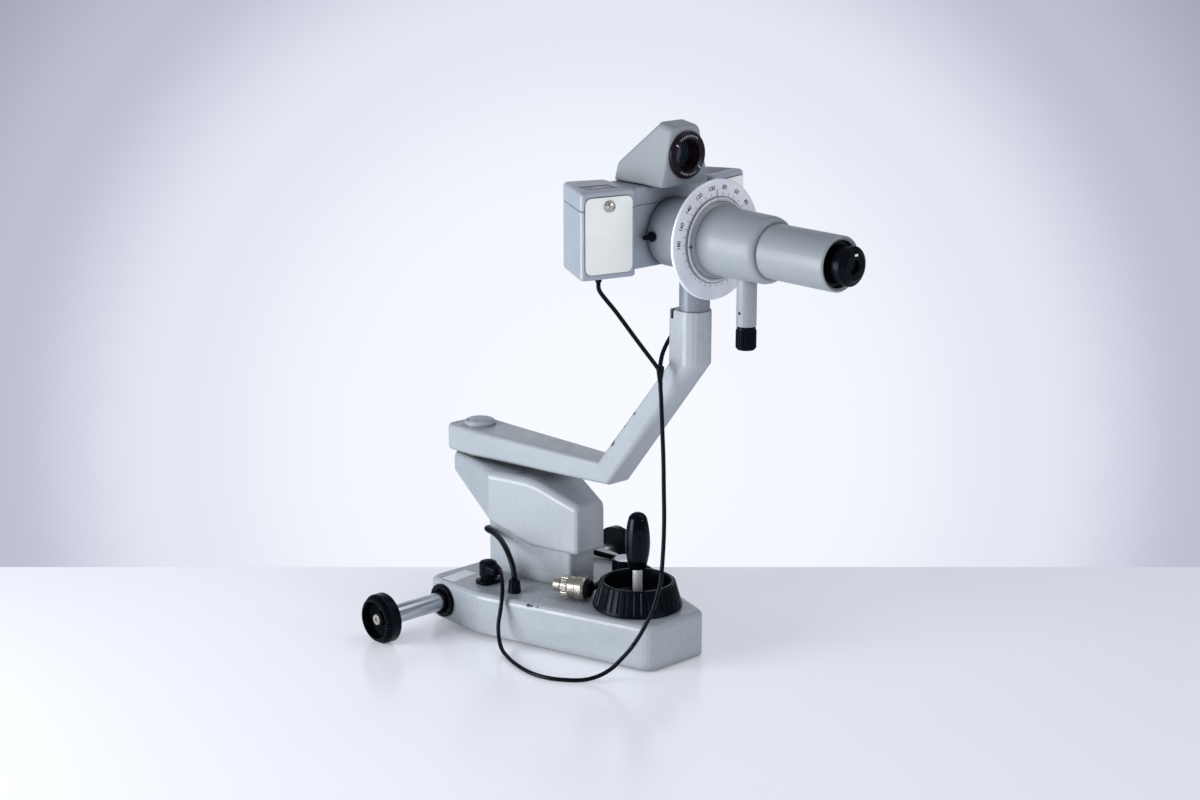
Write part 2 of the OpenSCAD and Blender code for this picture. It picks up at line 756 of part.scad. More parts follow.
module swing_arm() {
    edge = 5;
    rear = pivot_y + 29;
    flat_y = pivot_y - pivot_cap_r - 1;
    low_z = arm_under;
    color("lightslategray")
    difference() {
        loft([
            arm_section([rear, low_z], [rear, arm_top], arm_pivot_hw - 5, 3, edge, edge),
            arm_section([rear - 1.5, low_z], [rear - 1.5, arm_top], arm_pivot_hw - 2.5, 1, edge, edge),
            arm_section([rear - 6, low_z], [rear - 6, arm_top], arm_pivot_hw, 0, edge, edge),
            arm_section([flat_y, low_z], [flat_y, arm_top], arm_pivot_hw - 0.9, 0, edge, edge),
            arm_section(arm_bend_low, arm_bend_high, arm_hw, 0, edge, edge),
            arm_section(arm_elbow_low, arm_elbow_high, arm_hw, 0, arm_hw - 0.1, 4),
            arm_section([post_y - arm_hw, arm_end - 1.5], [post_y + 20, arm_end - 1.5], arm_hw, 0, arm_hw - 0.1, 4),
            arm_section([post_y - arm_hw, arm_end], [post_y + 20, arm_end], arm_hw, 0.5, arm_hw - 0.7, 3.5)
        ]);
        translate([0, pivot_y]) rod_z(pin_r + arm_bush_t, low_z - 1, arm_top + 1);
        translate([0, post_y]) rod_z(post_r + run, post_seat, arm_end + 1);
        translate([-arm_hw - 1, post_y + 12, arm_end - 9]) cube([7, 4, 10]);
    }
}

module arm_bush() {
    color("goldenrod")
    translate([0, pivot_y])
        rotate_extrude()
            polygon([
                [pin_r + run, housing_top + 0.1], [bush_collar_r, housing_top + 0.1], [bush_collar_r, arm_under],
                [pin_r + arm_bush_t, arm_under], [pin_r + arm_bush_t, arm_top - 1], [pin_r + run, arm_top - 1]
            ]);
}

module pivot_cap() {
    color("lightslategray")
    translate([0, pivot_y, arm_top])
        rotate_extrude()
            polygon(concat(
                [[0, -0.8], [pin_r + arm_bush_t, -0.8], [pin_r + arm_bush_t, 0], [pivot_cap_r, 0], [pivot_cap_r, 2.4]],
                [for (a = [0:10:90]) [(pivot_cap_r - 0.8) * cos(a), 3 + 4 * sin(a)]]
            ));
}

// Head post and fixed bearing
module head_post() {
    color("silver")
    difference() {
        union() {
            translate([0, post_y]) rod_z(post_r, post_seat, axis_z - bearing_r + 12);
            translate([0, post_y]) rod_z(post_r + 3, arm_end + 34, axis_z - bearing_r + 12);
        }
        rod_y(bearing_r, post_y - 60, post_y + 60);
    }
}

seal_w = 3;
module bearing_cylinder() {
    rear = post_y + bearing_rear;
    color("lightslategray")
    difference() {
        turned_y([
            [hub_r + run, disc_y], [bearing_r, disc_y], [bearing_r, rear - seal_w],
            [bearing_r - 1.2, rear - seal_w], [bearing_r - 1.2, rear], [hub_r + run, rear]
        ]);
        translate([-bearing_r - 1, clamp_y, axis_z]) rotate([0, 90, 0]) cylinder(r = 3.5 + run, h = 12);
    }
}

module degree_disc() {
    front = disc_y - disc_t;
    color("gainsboro")
    turned_y([
        [hub_r + run, front], [disc_r - 1, front], [disc_r, front + 1],
        [disc_r, disc_y], [hub_r + run, disc_y]
    ]);
}

clamp_y = post_y + 24;
module rotation_clamp() {
    color("black")
    translate([-bearing_r, clamp_y, axis_z]) rotate([0, -90, 0]) rotate_extrude()
        polygon([[0, -7], [3.5, -7], [3.5, 1], [5, 1], [5, 3], [3.2, 4], [2.4, 12], [1.6, 13], [0, 13]]);
}

// Rotating head
module hub_tube() {
    color("silver")
    turned_y([
        [bore_r, tube_y - 8], [hub_r, tube_y - 8], [hub_r, hub_rear_y], [bore_r, hub_rear_y]
    ]);
}

module telescope_tube() {
    y0 = tube_y;
    shoulder = 10;
    tip = big_tube_r - 1.2;
    drop = tip - small_tube_r - 1.2;
    color("lightslategray")
    difference() {
        union() {
            turned_y(concat(
                [[hub_r, index_y], [index_r, index_y], [index_r, y0 + 0.4], [index_r - 0.4, y0], [big_tube_r + 2, y0], [big_tube_r, y0 - 2]],
                [for (a = [0:10:90])
                    [tip - drop * (1 - cos(a)), big_tube_y + shoulder - shoulder * sin(a)]],
                [[small_tube_r, big_tube_y], [small_tube_r, big_tube_y + 30],
                    [bore_r, big_tube_y + 30], [bore_r, y0 - 8], [hub_r, y0 - 8]]
            ));
            translate([0, handle_y])
                difference() {
                    rod_z(handle_r, knob_z + knob_h + gap, axis_z - bore_r - 4);
                    translate([0, 0, knob_z + knob_h + 14]) rotate([0, 90, 0]) cylinder(r = 1.5, h = 30, center = true);
                }
        }
        translate([0, handle_y]) rod_z(4 + run, knob_z + knob_h, axis_z - bore_r + 3);
    }
}

module small_tube() {
    lip = 1.5;
    color("lightslategray")
    turned_y([
        [small_bore_r, small_tube_y + lip], [small_tube_r - lip, small_tube_y],
        [small_tube_r, small_tube_y + lip], [small_tube_r, big_tube_y + 30],
        [small_bore_r, big_tube_y + 30]
    ]);
}

module eyepiece_mount() {
    y0 = small_tube_y + 5;
    color("black")
    turned_y([
        [eye_sleeve_r + run, y0 + 1], [eye_sleeve_r + 2, y0], [small_bore_r, y0],
        [small_bore_r, y0 + 22], [eye_sleeve_r + run, y0 + 22]
    ]);
}

module eyepiece_sleeve() {
    color("black")
    turned_y([
        [eye_bore_r, eye_tip_y + 7], [eye_sleeve_r - 1, eye_tip_y + 7], [eye_sleeve_r, eye_tip_y + 8],
        [eye_sleeve_r, small_tube_y + 34], [eye_bore_r, small_tube_y + 34]
    ]);
}

module eyepiece_cap() {
    y0 = eye_tip_y;
    r = eye_sleeve_r + run;
    color("black")
    turned_y([
        [6.5, y0 + 1.6], [7.4, y0 + 0.3], [8.2, y0], [eyecap_r - 6.6, y0], [eyecap_r - 6.1, y0 + 0.3],
        [eyecap_r - 0.4, y0 + 4.3], [eyecap_r, y0 + 4.8], [eyecap_r, y0 + 6.6], [eyecap_r - 0.4, y0 + 7],
        [eyecap_r - 1.2, y0 + 7.4], [eyecap_r - 1.2, y0 + 15], [r, y0 + 15], [r, y0 + 2.9], [6.5, y0 + 2.9]
    ]);
}

module measuring_knob() {
    top = knob_z + knob_h;
    color("black")
    translate([0, handle_y])
        union() {
            rod_z(handle_r - 0.6, knob_z + 1, top);
            translate([0, 0, knob_z + 2]) linear_extrude(knob_h - 6)
                polygon(teeth(handle_r - 0.6, handle_r + 0.3, 30, 0.4));
            rod_z(handle_r - 1.4, knob_z, knob_z + 1);
            rod_z(4, top - 1, axis_z - 12);
        }
}

module doubling_plate() {
    color("lightblue")
    translate([-2, handle_y - 12, axis_z - 12]) cube([4, 24, 24]);
}

// Lamp boxes
module right_or_left(s) {
    if (s > 0) children();
    else mirror([1, 0, 0]) children();
}
module at_box_face(s) {
    right_or_left(s)
        translate([box_face_mid[0], box_face_mid[1], 0]) rotate([0, 0, box_face_turn]) children();
}
module at_box_back(s) {
    right_or_left(s)
        translate([box_back_mid[0], box_back_mid[1], 0]) rotate([0, 0, box_back_turn]) children();
}

module lamp_box(s) {
    floor_z = box_under + box_wall;
    color("lightsteelblue")
    difference() {
        right_or_left(s) cast(box_plan, 4, box_under, lid_z - seam, 2.5, 0.6);
        right_or_left(s) block(inset(box_plan, box_wall), floor_z, lid_z + 1, 2);
        at_box_back(s) translate([0, 0, axis_z]) rotate([90, 0, 0])
            cylinder(r = 13, h = 12, center = true);
        right_or_left(s) translate(cord_exit) rod_z(grommet_r, box_under - 1, floor_z + 1);
    }
}
module lamp_box_left() { lamp_box(-1); }
module lamp_box_right() { lamp_box(1); }

vent_count = 8;
vent_pitch = 5.6;
module lid(s) {
    color("lightsteelblue")
    difference() {
        right_or_left(s) cast(box_plan, 4, lid_z, box_top, 0.6, 4);
        right_or_left(s) block(inset(box_plan, box_wall), lid_z - 1, box_top - box_wall, 2);
        if (s > 0)
            at_box_face(s)
                for (i = [0:vent_count - 1])
                    translate([(i - (vent_count - 1) / 2) * vent_pitch - 1.4, 9, box_top - 6]) cube([2.8, 26, 10]);
        else
            at_box_face(s) block([[-17, 10], [17, 10], [17, 34], [-17, 34]], box_top - 1, box_top + 1, 2);
    }
}
module lid_left() { lid(-1); }
module lid_right() { lid(1); }

plate_mid = (box_under + box_top) / 2;
plate_t2 = 1.2;
module service_plates() {
    for (s = [-1, 1])
        at_box_face(s) {
            color("whitesmoke")
            translate([0, 0, plate_mid]) rotate([90, 0, 0]) linear_extrude(plate_t2)
                polygon(rounded(box_corners(plate_w / 2, -plate_h / 2, plate_h / 2), 6));
            color("silver")
            translate([0, -plate_t2, plate_mid + plate_h / 2 - 9]) rotate([90, 0, 0]) {
                cylinder(r = 5.6, h = 0.8);
                translate([0, 0, 0.8]) linear_extrude(3) polygon(teeth(4.4, 5, 24, 0.5));
                translate([0, 0, 3.8]) cylinder(r = 3.8, h = 0.7);
            }
        }
}

module lamps() {
    for (s = [-1, 1])
        right_or_left(s) translate(lamp_pos) {
            color("dimgray") rod_z(9, box_under + box_wall, box_under + 20);
            color("lightyellow")
            translate([0, 0, box_under + 20]) rotate_extrude()
                polygon(concat([[0, 0], [6, 0], [6, 4]], [for (a = [0:15:90]) [10 * cos(a), 16 + 12 * sin(a)]]));
        }
}

function inner_x(y) = box_plan[0][0] - 16 * (y - box_plan[0][1]) / 63;
module bridge() {
    front = post_y + bearing_rear + 0.6;
    rear = 4;
    w = 0.4;
    outline = [[-inner_x(front) + w, front], [inner_x(front) - w, front], [inner_x(rear) - w, rear], [-inner_x(rear) + w, rear]];
    color("lightslategray")
    difference() {
        cast(outline, 3, box_under + 5, box_top - 1.5, 2, 3);
        rod_y(hub_r, front - 1, rear + 1);
        translate([0, 0, lid_z - 0.6]) linear_extrude(0.6)
            difference() {
                polygon(inset(outline, -1));
                polygon(inset(outline, 0.8));
            }
    }
}

function prism_section(y, top_z, hw, d) =
    let (low = 32.5, z0 = prism_under)
    at_y(rounded([[-low + d, z0], [low - d, z0], [hw - d, top_z - d], [d - hw, top_z - d]], [1.5, 1.5, 7, 7]), y);

module prism_housing() {
    f = prism_front_y;
    color("lightslategray")
    difference() {
        loft([
            prism_section(f + 71, prism_under + 0.1 * prism_h, 30, 2),
            prism_section(f + 68, prism_under + 0.32 * prism_h, 27.4, 0),
            prism_section(f + 20, prism_top, 18, 0),
            prism_section(f + 3, prism_top - 3, 18.5, 0),
            prism_section(f + 1, prism_top - 3.3, 18.5, 0.8),
            prism_section(f, prism_top - 3.5, 18.5, 3)
        ]);
        rod_y(17 + run, f - 1, f + 12, reading_z);
    }
}

module reading_ring() {
    f = prism_front_y;
    color("black")
    translate([0, 0, reading_z]) rotate([-90, 0, 0]) rotate_extrude()
        polygon([
            [14.5, f + 10], [14.5, f + 2], [16, f - 3], [reading_r - 1.5, f - 4.5], [reading_r, f - 3],
            [reading_r, f - gap], [17, f - gap], [17, f + 10]
        ]);
}

// Domed lens on a given axis height, its front vertex towards the operator
module dome_lens(r, y, t, bulge, z) {
    translate([0, 0, z]) rotate([-90, 0, 0]) rotate_extrude()
        polygon(concat(
            [[0, y + t], [r, y + t], [r, y]],
            [for (i = [1:6]) [r * (1 - i / 6), y - bulge * (1 - pow(1 - i / 6, 2))]]
        ));
}

// Glass in the head: objective, reading lens and mire windows
module lenses() {
    color("lightblue") {
        rod_y(bore_r, hub_rear_y - 8, hub_rear_y - 3);
        dome_lens(16.8, prism_front_y + 10.6, 1.2, 0.4, reading_z);
        for (s = [-1, 1])
            at_box_back(s) translate([0, 0, axis_z]) rotate([-90, 0, 0])
                translate([0, 0, -3]) cylinder(r = 13, h = 4);
    }
}

module eye_lens() {
    color("lightblue") dome_lens(eye_bore_r, eye_tip_y + 9, 3, 1.6, axis_z);
}

// Lamp socket, plug and cords
module lamp_socket() {
    color("black")
    translate(socket_pos) {
        block(box_corners(13, -9.5, 9.5), base_top, base_top + 4, 6);
        rod_z(8.5, base_top + 3, base_top + 7.6);
    }
    color("silver")
    for (s = [-1, 1])
        translate([socket_pos[0] + 10.6 * s, socket_pos[1], 0])
            rod_z(1.8, base_top + 4, base_top + 5.2);
}

// Angled plug: round body with a domed top, and a boot that leaves it forwards
plug_z = base_top + 18;
module lamp_plug() {
    start = trunk_route[len(trunk_route) - 1];
    body_r = 9.8;
    z0 = base_top + 7.6;
    z1 = base_top + 22;
    color("black")
    union() {
        translate(socket_pos)
            rotate_extrude()
                polygon([[0, z0], [body_r - 0.6, z0], [body_r, z0 + 1], [body_r, z1], [body_r - 1, z1 + 1.6],
                    [body_r - 4, z1 + 3], [0, z1 + 3.6]]);
        translate([socket_pos[0], 0, 0])
            loft([
                at_y(rounded(box_corners(8.5, z0 + 1.5, z1 + 1), 3), socket_pos[1]),
                at_y(rounded(box_corners(8, z0 + 1.8, z1), 3), socket_pos[1] - 8),
                at_y(rounded(box_corners(5.8, z0 + 4, z1 - 1.5), 3), start[1] + 1.2),
                at_y(rounded(box_corners(4.8, z0 + 5, z1 - 2.5), 3), start[1] + 0.2)
            ]);
    }
}

module cable_gland() {
    z0 = base_top;
    color("black")
    translate(gland_pos)
        rotate_extrude()
            polygon([[0, z0], [7, z0], [7.2, z0 + 1], [6, z0 + 12.6], [5, z0 + 14.4], [0, z0 + 14.6]]);
}

module on_connector() {
    translate([connector_tip[0], connector_tip[1], connector_z])
        rotate([0, 90, connector_turn]) children();
}

connector_l = 36.5;
connector_bore = 9;
module connector_plug() {
    color("silver")
    on_connector()
        difference() {
            union() {
                rod_z(7.8, 0, 7);
                rod_z(6.6, 0, 10);
                translate([0, 0, 9.4]) linear_extrude(7) polygon(teeth(10.2, 11, 20, 0.5));
                rod_z(9.6, 16, 18);
                rotate_extrude()
                    polygon([[0, 17.6], [11.2, 17.6], [11.8, 18.2], [11.8, 26], [11.4, 26.4], [0, 26.4]]);
                rod_z(11, 26, 27.4);
                rotate_extrude()
                    polygon([[0, 27], [12.8, 27], [13.3, 27.5], [13.3, 34.2], [11.6, connector_l], [0, connector_l]]);
            }
            difference() {
                rod_z(6.8, -1, 5.4);
                rod_z(5, -2, 6);
            }
            rod_z(connector_bore, connector_l - 3, connector_l + 1);
        }
}

// Rubber boot in the connector's rear, with its outlet to the side
module connector_boot() {
    on_connector() {
        rod_z(connector_bore - run, connector_l - 3 + run, connector_l + 0.4);
        translate([0, 0, connector_l + 0.3])
            cylinder(r1 = 10.4, r2 = 8.2, h = 5);
    }
    end = cable_route[len(cable_route) - 1];
    root = connector_tip + (connector_l + 4.1) * [cos(connector_turn), sin(connector_turn)];
    foot = [root[0], root[1], connector_z];
    away = end - foot;
    flat = norm([away[0], away[1]]);
    translate(foot) rotate([0, 90 - atan2(away[2], flat), atan2(away[1], away[0])])
        cylinder(r1 = 3.9, r2 = 3.6, h = norm(away) + 1);
}

module lamp_cord_branches() {
    color("black") {
        cord(left_branch_route, lamp_cord_d);
        cord(right_branch_route, lamp_cord_d);
        loft([for (s = [[313, 3], [315, 4.2], [321, 5], [327, 5.4], [330, 4.6]])
            at_z([for (k = [0:11]) [-32, -65.5] + s[1] * [cos(30 * k), 0.75 * sin(30 * k)]], s[0])]);
        for (s = [-1, 1])
            translate([s * cord_exit[0], cord_exit[1]]) {
                rod_z(4.6, box_under - 5, box_under - 0.1);
                rod_z(grommet_r - 0.1, box_under - 1, box_under + 4);
            }
    }
}
module lamp_cord_trunk() {
    color("black") cord(trunk_route, lamp_cord_d);
}
module connector_cable() {
    color("black")
    union() {
        cord(cable_route, cable_d);
        connector_boot();
    }
}

base_casting();
base_plate();
base_plate_screws();
glide_foot();
axle_bushes();
joystick_socket();
lower_column();
guide_pillar();
drive_belt();
lamp_socket();
cable_gland();
lamp_plug();
lamp_cord_trunk();
connector_cable();
connector_plug();
axle_sleeves();
axle_shaft();
wheel_left();
wheel_right();
wheel_screws();
pivot_ball();
joystick_rod();
joystick_grip();
height_ring();
ring_pulley();
lift_spindle();
spindle_pulley();
base_lock_knob();
lock_knob_cap();
lift_housing();
lift_nut();
guide_bush();
pivot_pin();
swing_arm();
arm_bush();
pivot_cap();
head_post();
bearing_cylinder();
degree_disc();
rotation_clamp();
hub_tube();
bridge();
telescope_tube();
small_tube();
eyepiece_mount();
eyepiece_sleeve();
eyepiece_cap();
measuring_knob();
doubling_plate();
lamp_box_left();
lamp_box_right();
lid_left();
lid_right();
service_plates();
lamps();
prism_housing();
reading_ring();
lenses();
eye_lens();
lamp_cord_branches();
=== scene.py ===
import json
import math

import bmesh
import bpy
from mathutils import Matrix, Vector


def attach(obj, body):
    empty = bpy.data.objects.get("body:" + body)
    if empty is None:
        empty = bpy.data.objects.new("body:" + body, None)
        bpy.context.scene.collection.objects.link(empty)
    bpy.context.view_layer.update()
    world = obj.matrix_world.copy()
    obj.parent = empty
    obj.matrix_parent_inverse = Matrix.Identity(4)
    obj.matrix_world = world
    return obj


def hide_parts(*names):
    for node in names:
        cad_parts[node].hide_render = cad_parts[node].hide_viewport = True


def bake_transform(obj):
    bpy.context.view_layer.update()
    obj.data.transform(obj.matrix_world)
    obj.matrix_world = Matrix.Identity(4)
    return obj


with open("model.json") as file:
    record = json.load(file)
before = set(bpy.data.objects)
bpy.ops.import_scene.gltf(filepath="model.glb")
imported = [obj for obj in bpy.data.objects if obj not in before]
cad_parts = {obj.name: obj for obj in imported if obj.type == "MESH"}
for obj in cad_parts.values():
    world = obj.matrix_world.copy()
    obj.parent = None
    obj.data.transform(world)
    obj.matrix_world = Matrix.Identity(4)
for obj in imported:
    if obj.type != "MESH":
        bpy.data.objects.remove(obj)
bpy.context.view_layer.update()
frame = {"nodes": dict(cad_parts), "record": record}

MM = 0.001
UP = (0, 0, 1)
TOWARDS_EYE = (0, -1, 0)
NODES = frame["nodes"]

# Places taken from the part, in millimetres and radians
AXIS_Z = 460
DISC_FRONT_Y = -111
FLANGE_FRONT_Y = -113.1
READING_FRONT_Y = -71.5
READING_Z = 539
EYE_FRONT_Y = -292
CONNECTOR_TIP = Vector((-45.2, 79.6, 63.4))
CONNECTOR_LENGTH = 36.5
CONNECTOR_TURN = math.radians(-67)
BOX_FACE_X = 84
BOX_FACE_Y = -45.5
BOX_TURN = math.atan2(15, 60)
PLATE_THICKNESS = 1.2
PLATE_MIDDLE_Z = 466
SCREW_Z = 495
LID_MIDDLE = -22
PANEL_Z = 509.0
BADGE_Z = 509.5
# Height of the black sheets under the vents, which paint the shade inside the box
VENT_SHADE_Z = 508.3
VENTS = 8
VENT_PITCH = 5.6


# Camera, at the photograph's viewing angle
CAMERA_AT = Vector((-1.5873, -1.6734, 0.8929))
CAMERA_LOOK = Vector((0.6526, 0.7122, -0.2588))
FOCAL_PIXELS = 2300
IMAGE_WIDTH = 1200
SENSOR = 36.0
VIEW_END = 50


def aim(thing, direction):
    """Turns a camera or light to look along the direction."""
    thing.rotation_mode = "QUATERNION"
    thing.rotation_quaternion = direction.to_track_quat("-Z", "Y")


def make_camera():
    data = bpy.data.cameras.new("camera")
    data.sensor_width = SENSOR
    data.lens = SENSOR * FOCAL_PIXELS / IMAGE_WIDTH
    data.clip_end = VIEW_END
    camera = bpy.data.objects.new("camera", data)
    bpy.context.collection.objects.link(camera)
    camera.location = CAMERA_AT
    aim(camera, CAMERA_LOOK)
    bpy.context.scene.camera = camera


# Mesh helpers. FLUTE is a groove's radius next to its rib's, and each layer of a thin plate
# is a share of its outline at a share of its thickness
SAME_POINT = 1e-6
FLUTE = 0.93
PLATE_LAYERS = ((1.0, 0.0), (1.0, 0.6), (0.985, 1.0))


def shade_smooth(mesh):
    mesh.polygons.foreach_set("use_smooth", [True] * len(mesh.polygons))


def new_object(name, verts, faces, smooth=True):
    mesh = bpy.data.meshes.new(name)
    mesh.from_pydata([tuple(v) for v in verts], [], faces)
    mesh.validate()
    piece = bpy.data.objects.new(name, mesh)
    bpy.context.collection.objects.link(piece)
    if smooth:
        shade_smooth(mesh)
    return piece


def finish_piece(piece, body, material):
    piece.data.materials.clear()
    piece.data.materials.append(material)
    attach(piece, body)


def clean(piece):
    """Merges points that coincide, as at a turned piece's poles, and turns the faces outwards."""
    bm = bmesh.new()
    bm.from_mesh(piece.data)
    bmesh.ops.remove_doubles(bm, verts=bm.verts, dist=SAME_POINT)
    bmesh.ops.recalc_face_normals(bm, faces=bm.faces)
    bm.to_mesh(piece.data)
    bm.free()
    shade_smooth(piece.data)


def turned(name, profile, place, steps=96, flutes=()):
    """Surface of revolution round the local Z of place: profile is (radius, height) pairs in mm.

    The points whose numbers are in flutes are drawn in at every other step, which gives a knurl.
    """
    verts, faces = [], []
    count = len(profile)
    for i in range(steps):
        a = 2 * math.pi * i / steps
        for k, (radius, height) in enumerate(profile):
            r = radius * MM
            if k in flutes and i % 2:
                r *= FLUTE
            verts.append(place @ Vector((r * math.cos(a), r * math.sin(a), height * MM)))
    for i in range(steps):
        j = (i + 1) % steps
        for k in range(count - 1):
            faces.append((i * count + k, j * count + k, j * count + k + 1, i * count + k + 1))
    piece = new_object(name, verts, faces)
    clean(piece)
    return piece


def facing(at, direction, right=None):
    """Frame at a point in mm whose Z is the direction, and whose X is right where it is given."""
    z = Vector(direction).normalized()
    x = Vector(right).normalized() if right else z.orthogonal().normalized()
    y = z.cross(x)
    place = Matrix((x, y, z)).transposed().to_4x4()
    place.translation = Vector(at) * MM
    return place


def rounded_outline(width, height, radius, steps=5):
    points = []
    for cx, cy, start in ((1, 1, 0), (-1, 1, 90), (-1, -1, 180), (1, -1, 270)):
        for i in range(steps + 1):
            a = math.radians(start + 90 * i / steps)
            points.append((cx * (width / 2 - radius) + radius * math.cos(a),
                           cy * (height / 2 - radius) + radius * math.sin(a)))
    return points


def thin_plate(name, size, place, bend=0.0):
    """A thin plate with a softened upper edge, standing on the XY plane of place.

    size is its width, height, corner radius and thickness, and bend is how far its ends curl up.
    """
    *outline, thickness = size
    rim = [(x * MM, y * MM) for x, y in rounded_outline(*outline)]
    half = max(abs(x) for x, _ in rim)
    verts = [place @ Vector((x * k, y * k, thickness * MM * h + bend * MM * (x / half) ** 2))
             for k, h in PLATE_LAYERS for x, y in rim]
    count = len(rim)
    last = count * (len(PLATE_LAYERS) - 1)
    faces = []
    for low in range(0, last, count):
        high = low + count
        for i in range(count):
            j = (i + 1) % count
            faces.append((low + i, low + j, high + j, high + i))
    faces.append(tuple(range(last, last + count)))
    return new_object(name, verts, faces, smooth=False)


# Materials. A range says between which values of a pattern its effect goes from none to full
EVERYWHERE = (0.3, 0.7)
PATCHY = (0.4, 0.7)
SPARSE = (0.45, 0.75)
EDGE_RANGE = (0.90, 0.985)
CREVICE_RANGE = (0.25, 0.85)
BARE_RANGE = (0.66, 0.69)

# How far the range for bare metal on edges moves down where the enamel is fully worn
WORN_SHIFT = 0.1

# A chip's rim wanders by the first share of its radius, and fades from the second one outwards
RIM_WANDER = 0.5
RIM_START = 0.8

BEVEL_SAMPLES = 6
HIDDEN_SAMPLES = 8

# Noise patterns: grains to the metre, detail and, where it isn't the usual half, roughness
ENAMEL_CLOUDS = (14, 4, 0.55)
ENAMEL_STAINS = (3.2, 5, 0.6)
ENAMEL_GLOSS = (60, 3)
ORANGE_PEEL = (650, 2)
PALE_EDGES = (70, 3)
BARE_EDGES = (95, 5, 0.65)
RAGGED_RIM = (420, 3)
DUST = (40, 4)
RUBBED_PATCHES = (120, 4)
PLASTIC_GLOSS = (90, 4)
TOOL_MARKS = (900, 3, 0.6)
TARNISH = (25, 3)
DISC_STAINS = (20, 4)
DISC_GLOSS = (300, 3)
SMEARS = (30, 2)
INK_WEAR = (500, 3)
INK_GLOSS = (200, 2)

GREEN_GREY = (0.375, 0.413, 0.450)
BOX_GREY = (0.365, 0.408, 0.468)
BLACK = (0.0018, 0.0024, 0.0042)
CHIPPED = (0.035, 0.036, 0.042)
COOL_SHEEN = (0.62, 0.78, 1.0, 1)

# Sockets of a mix node that are in use when it mixes colours
MIX_FACTOR = 0
MIX_UNDER = 6
MIX_OVER = 7
MIX_RESULT = 2


def shade(color, factor):
    return tuple(min(1.0, c * factor) for c in color)


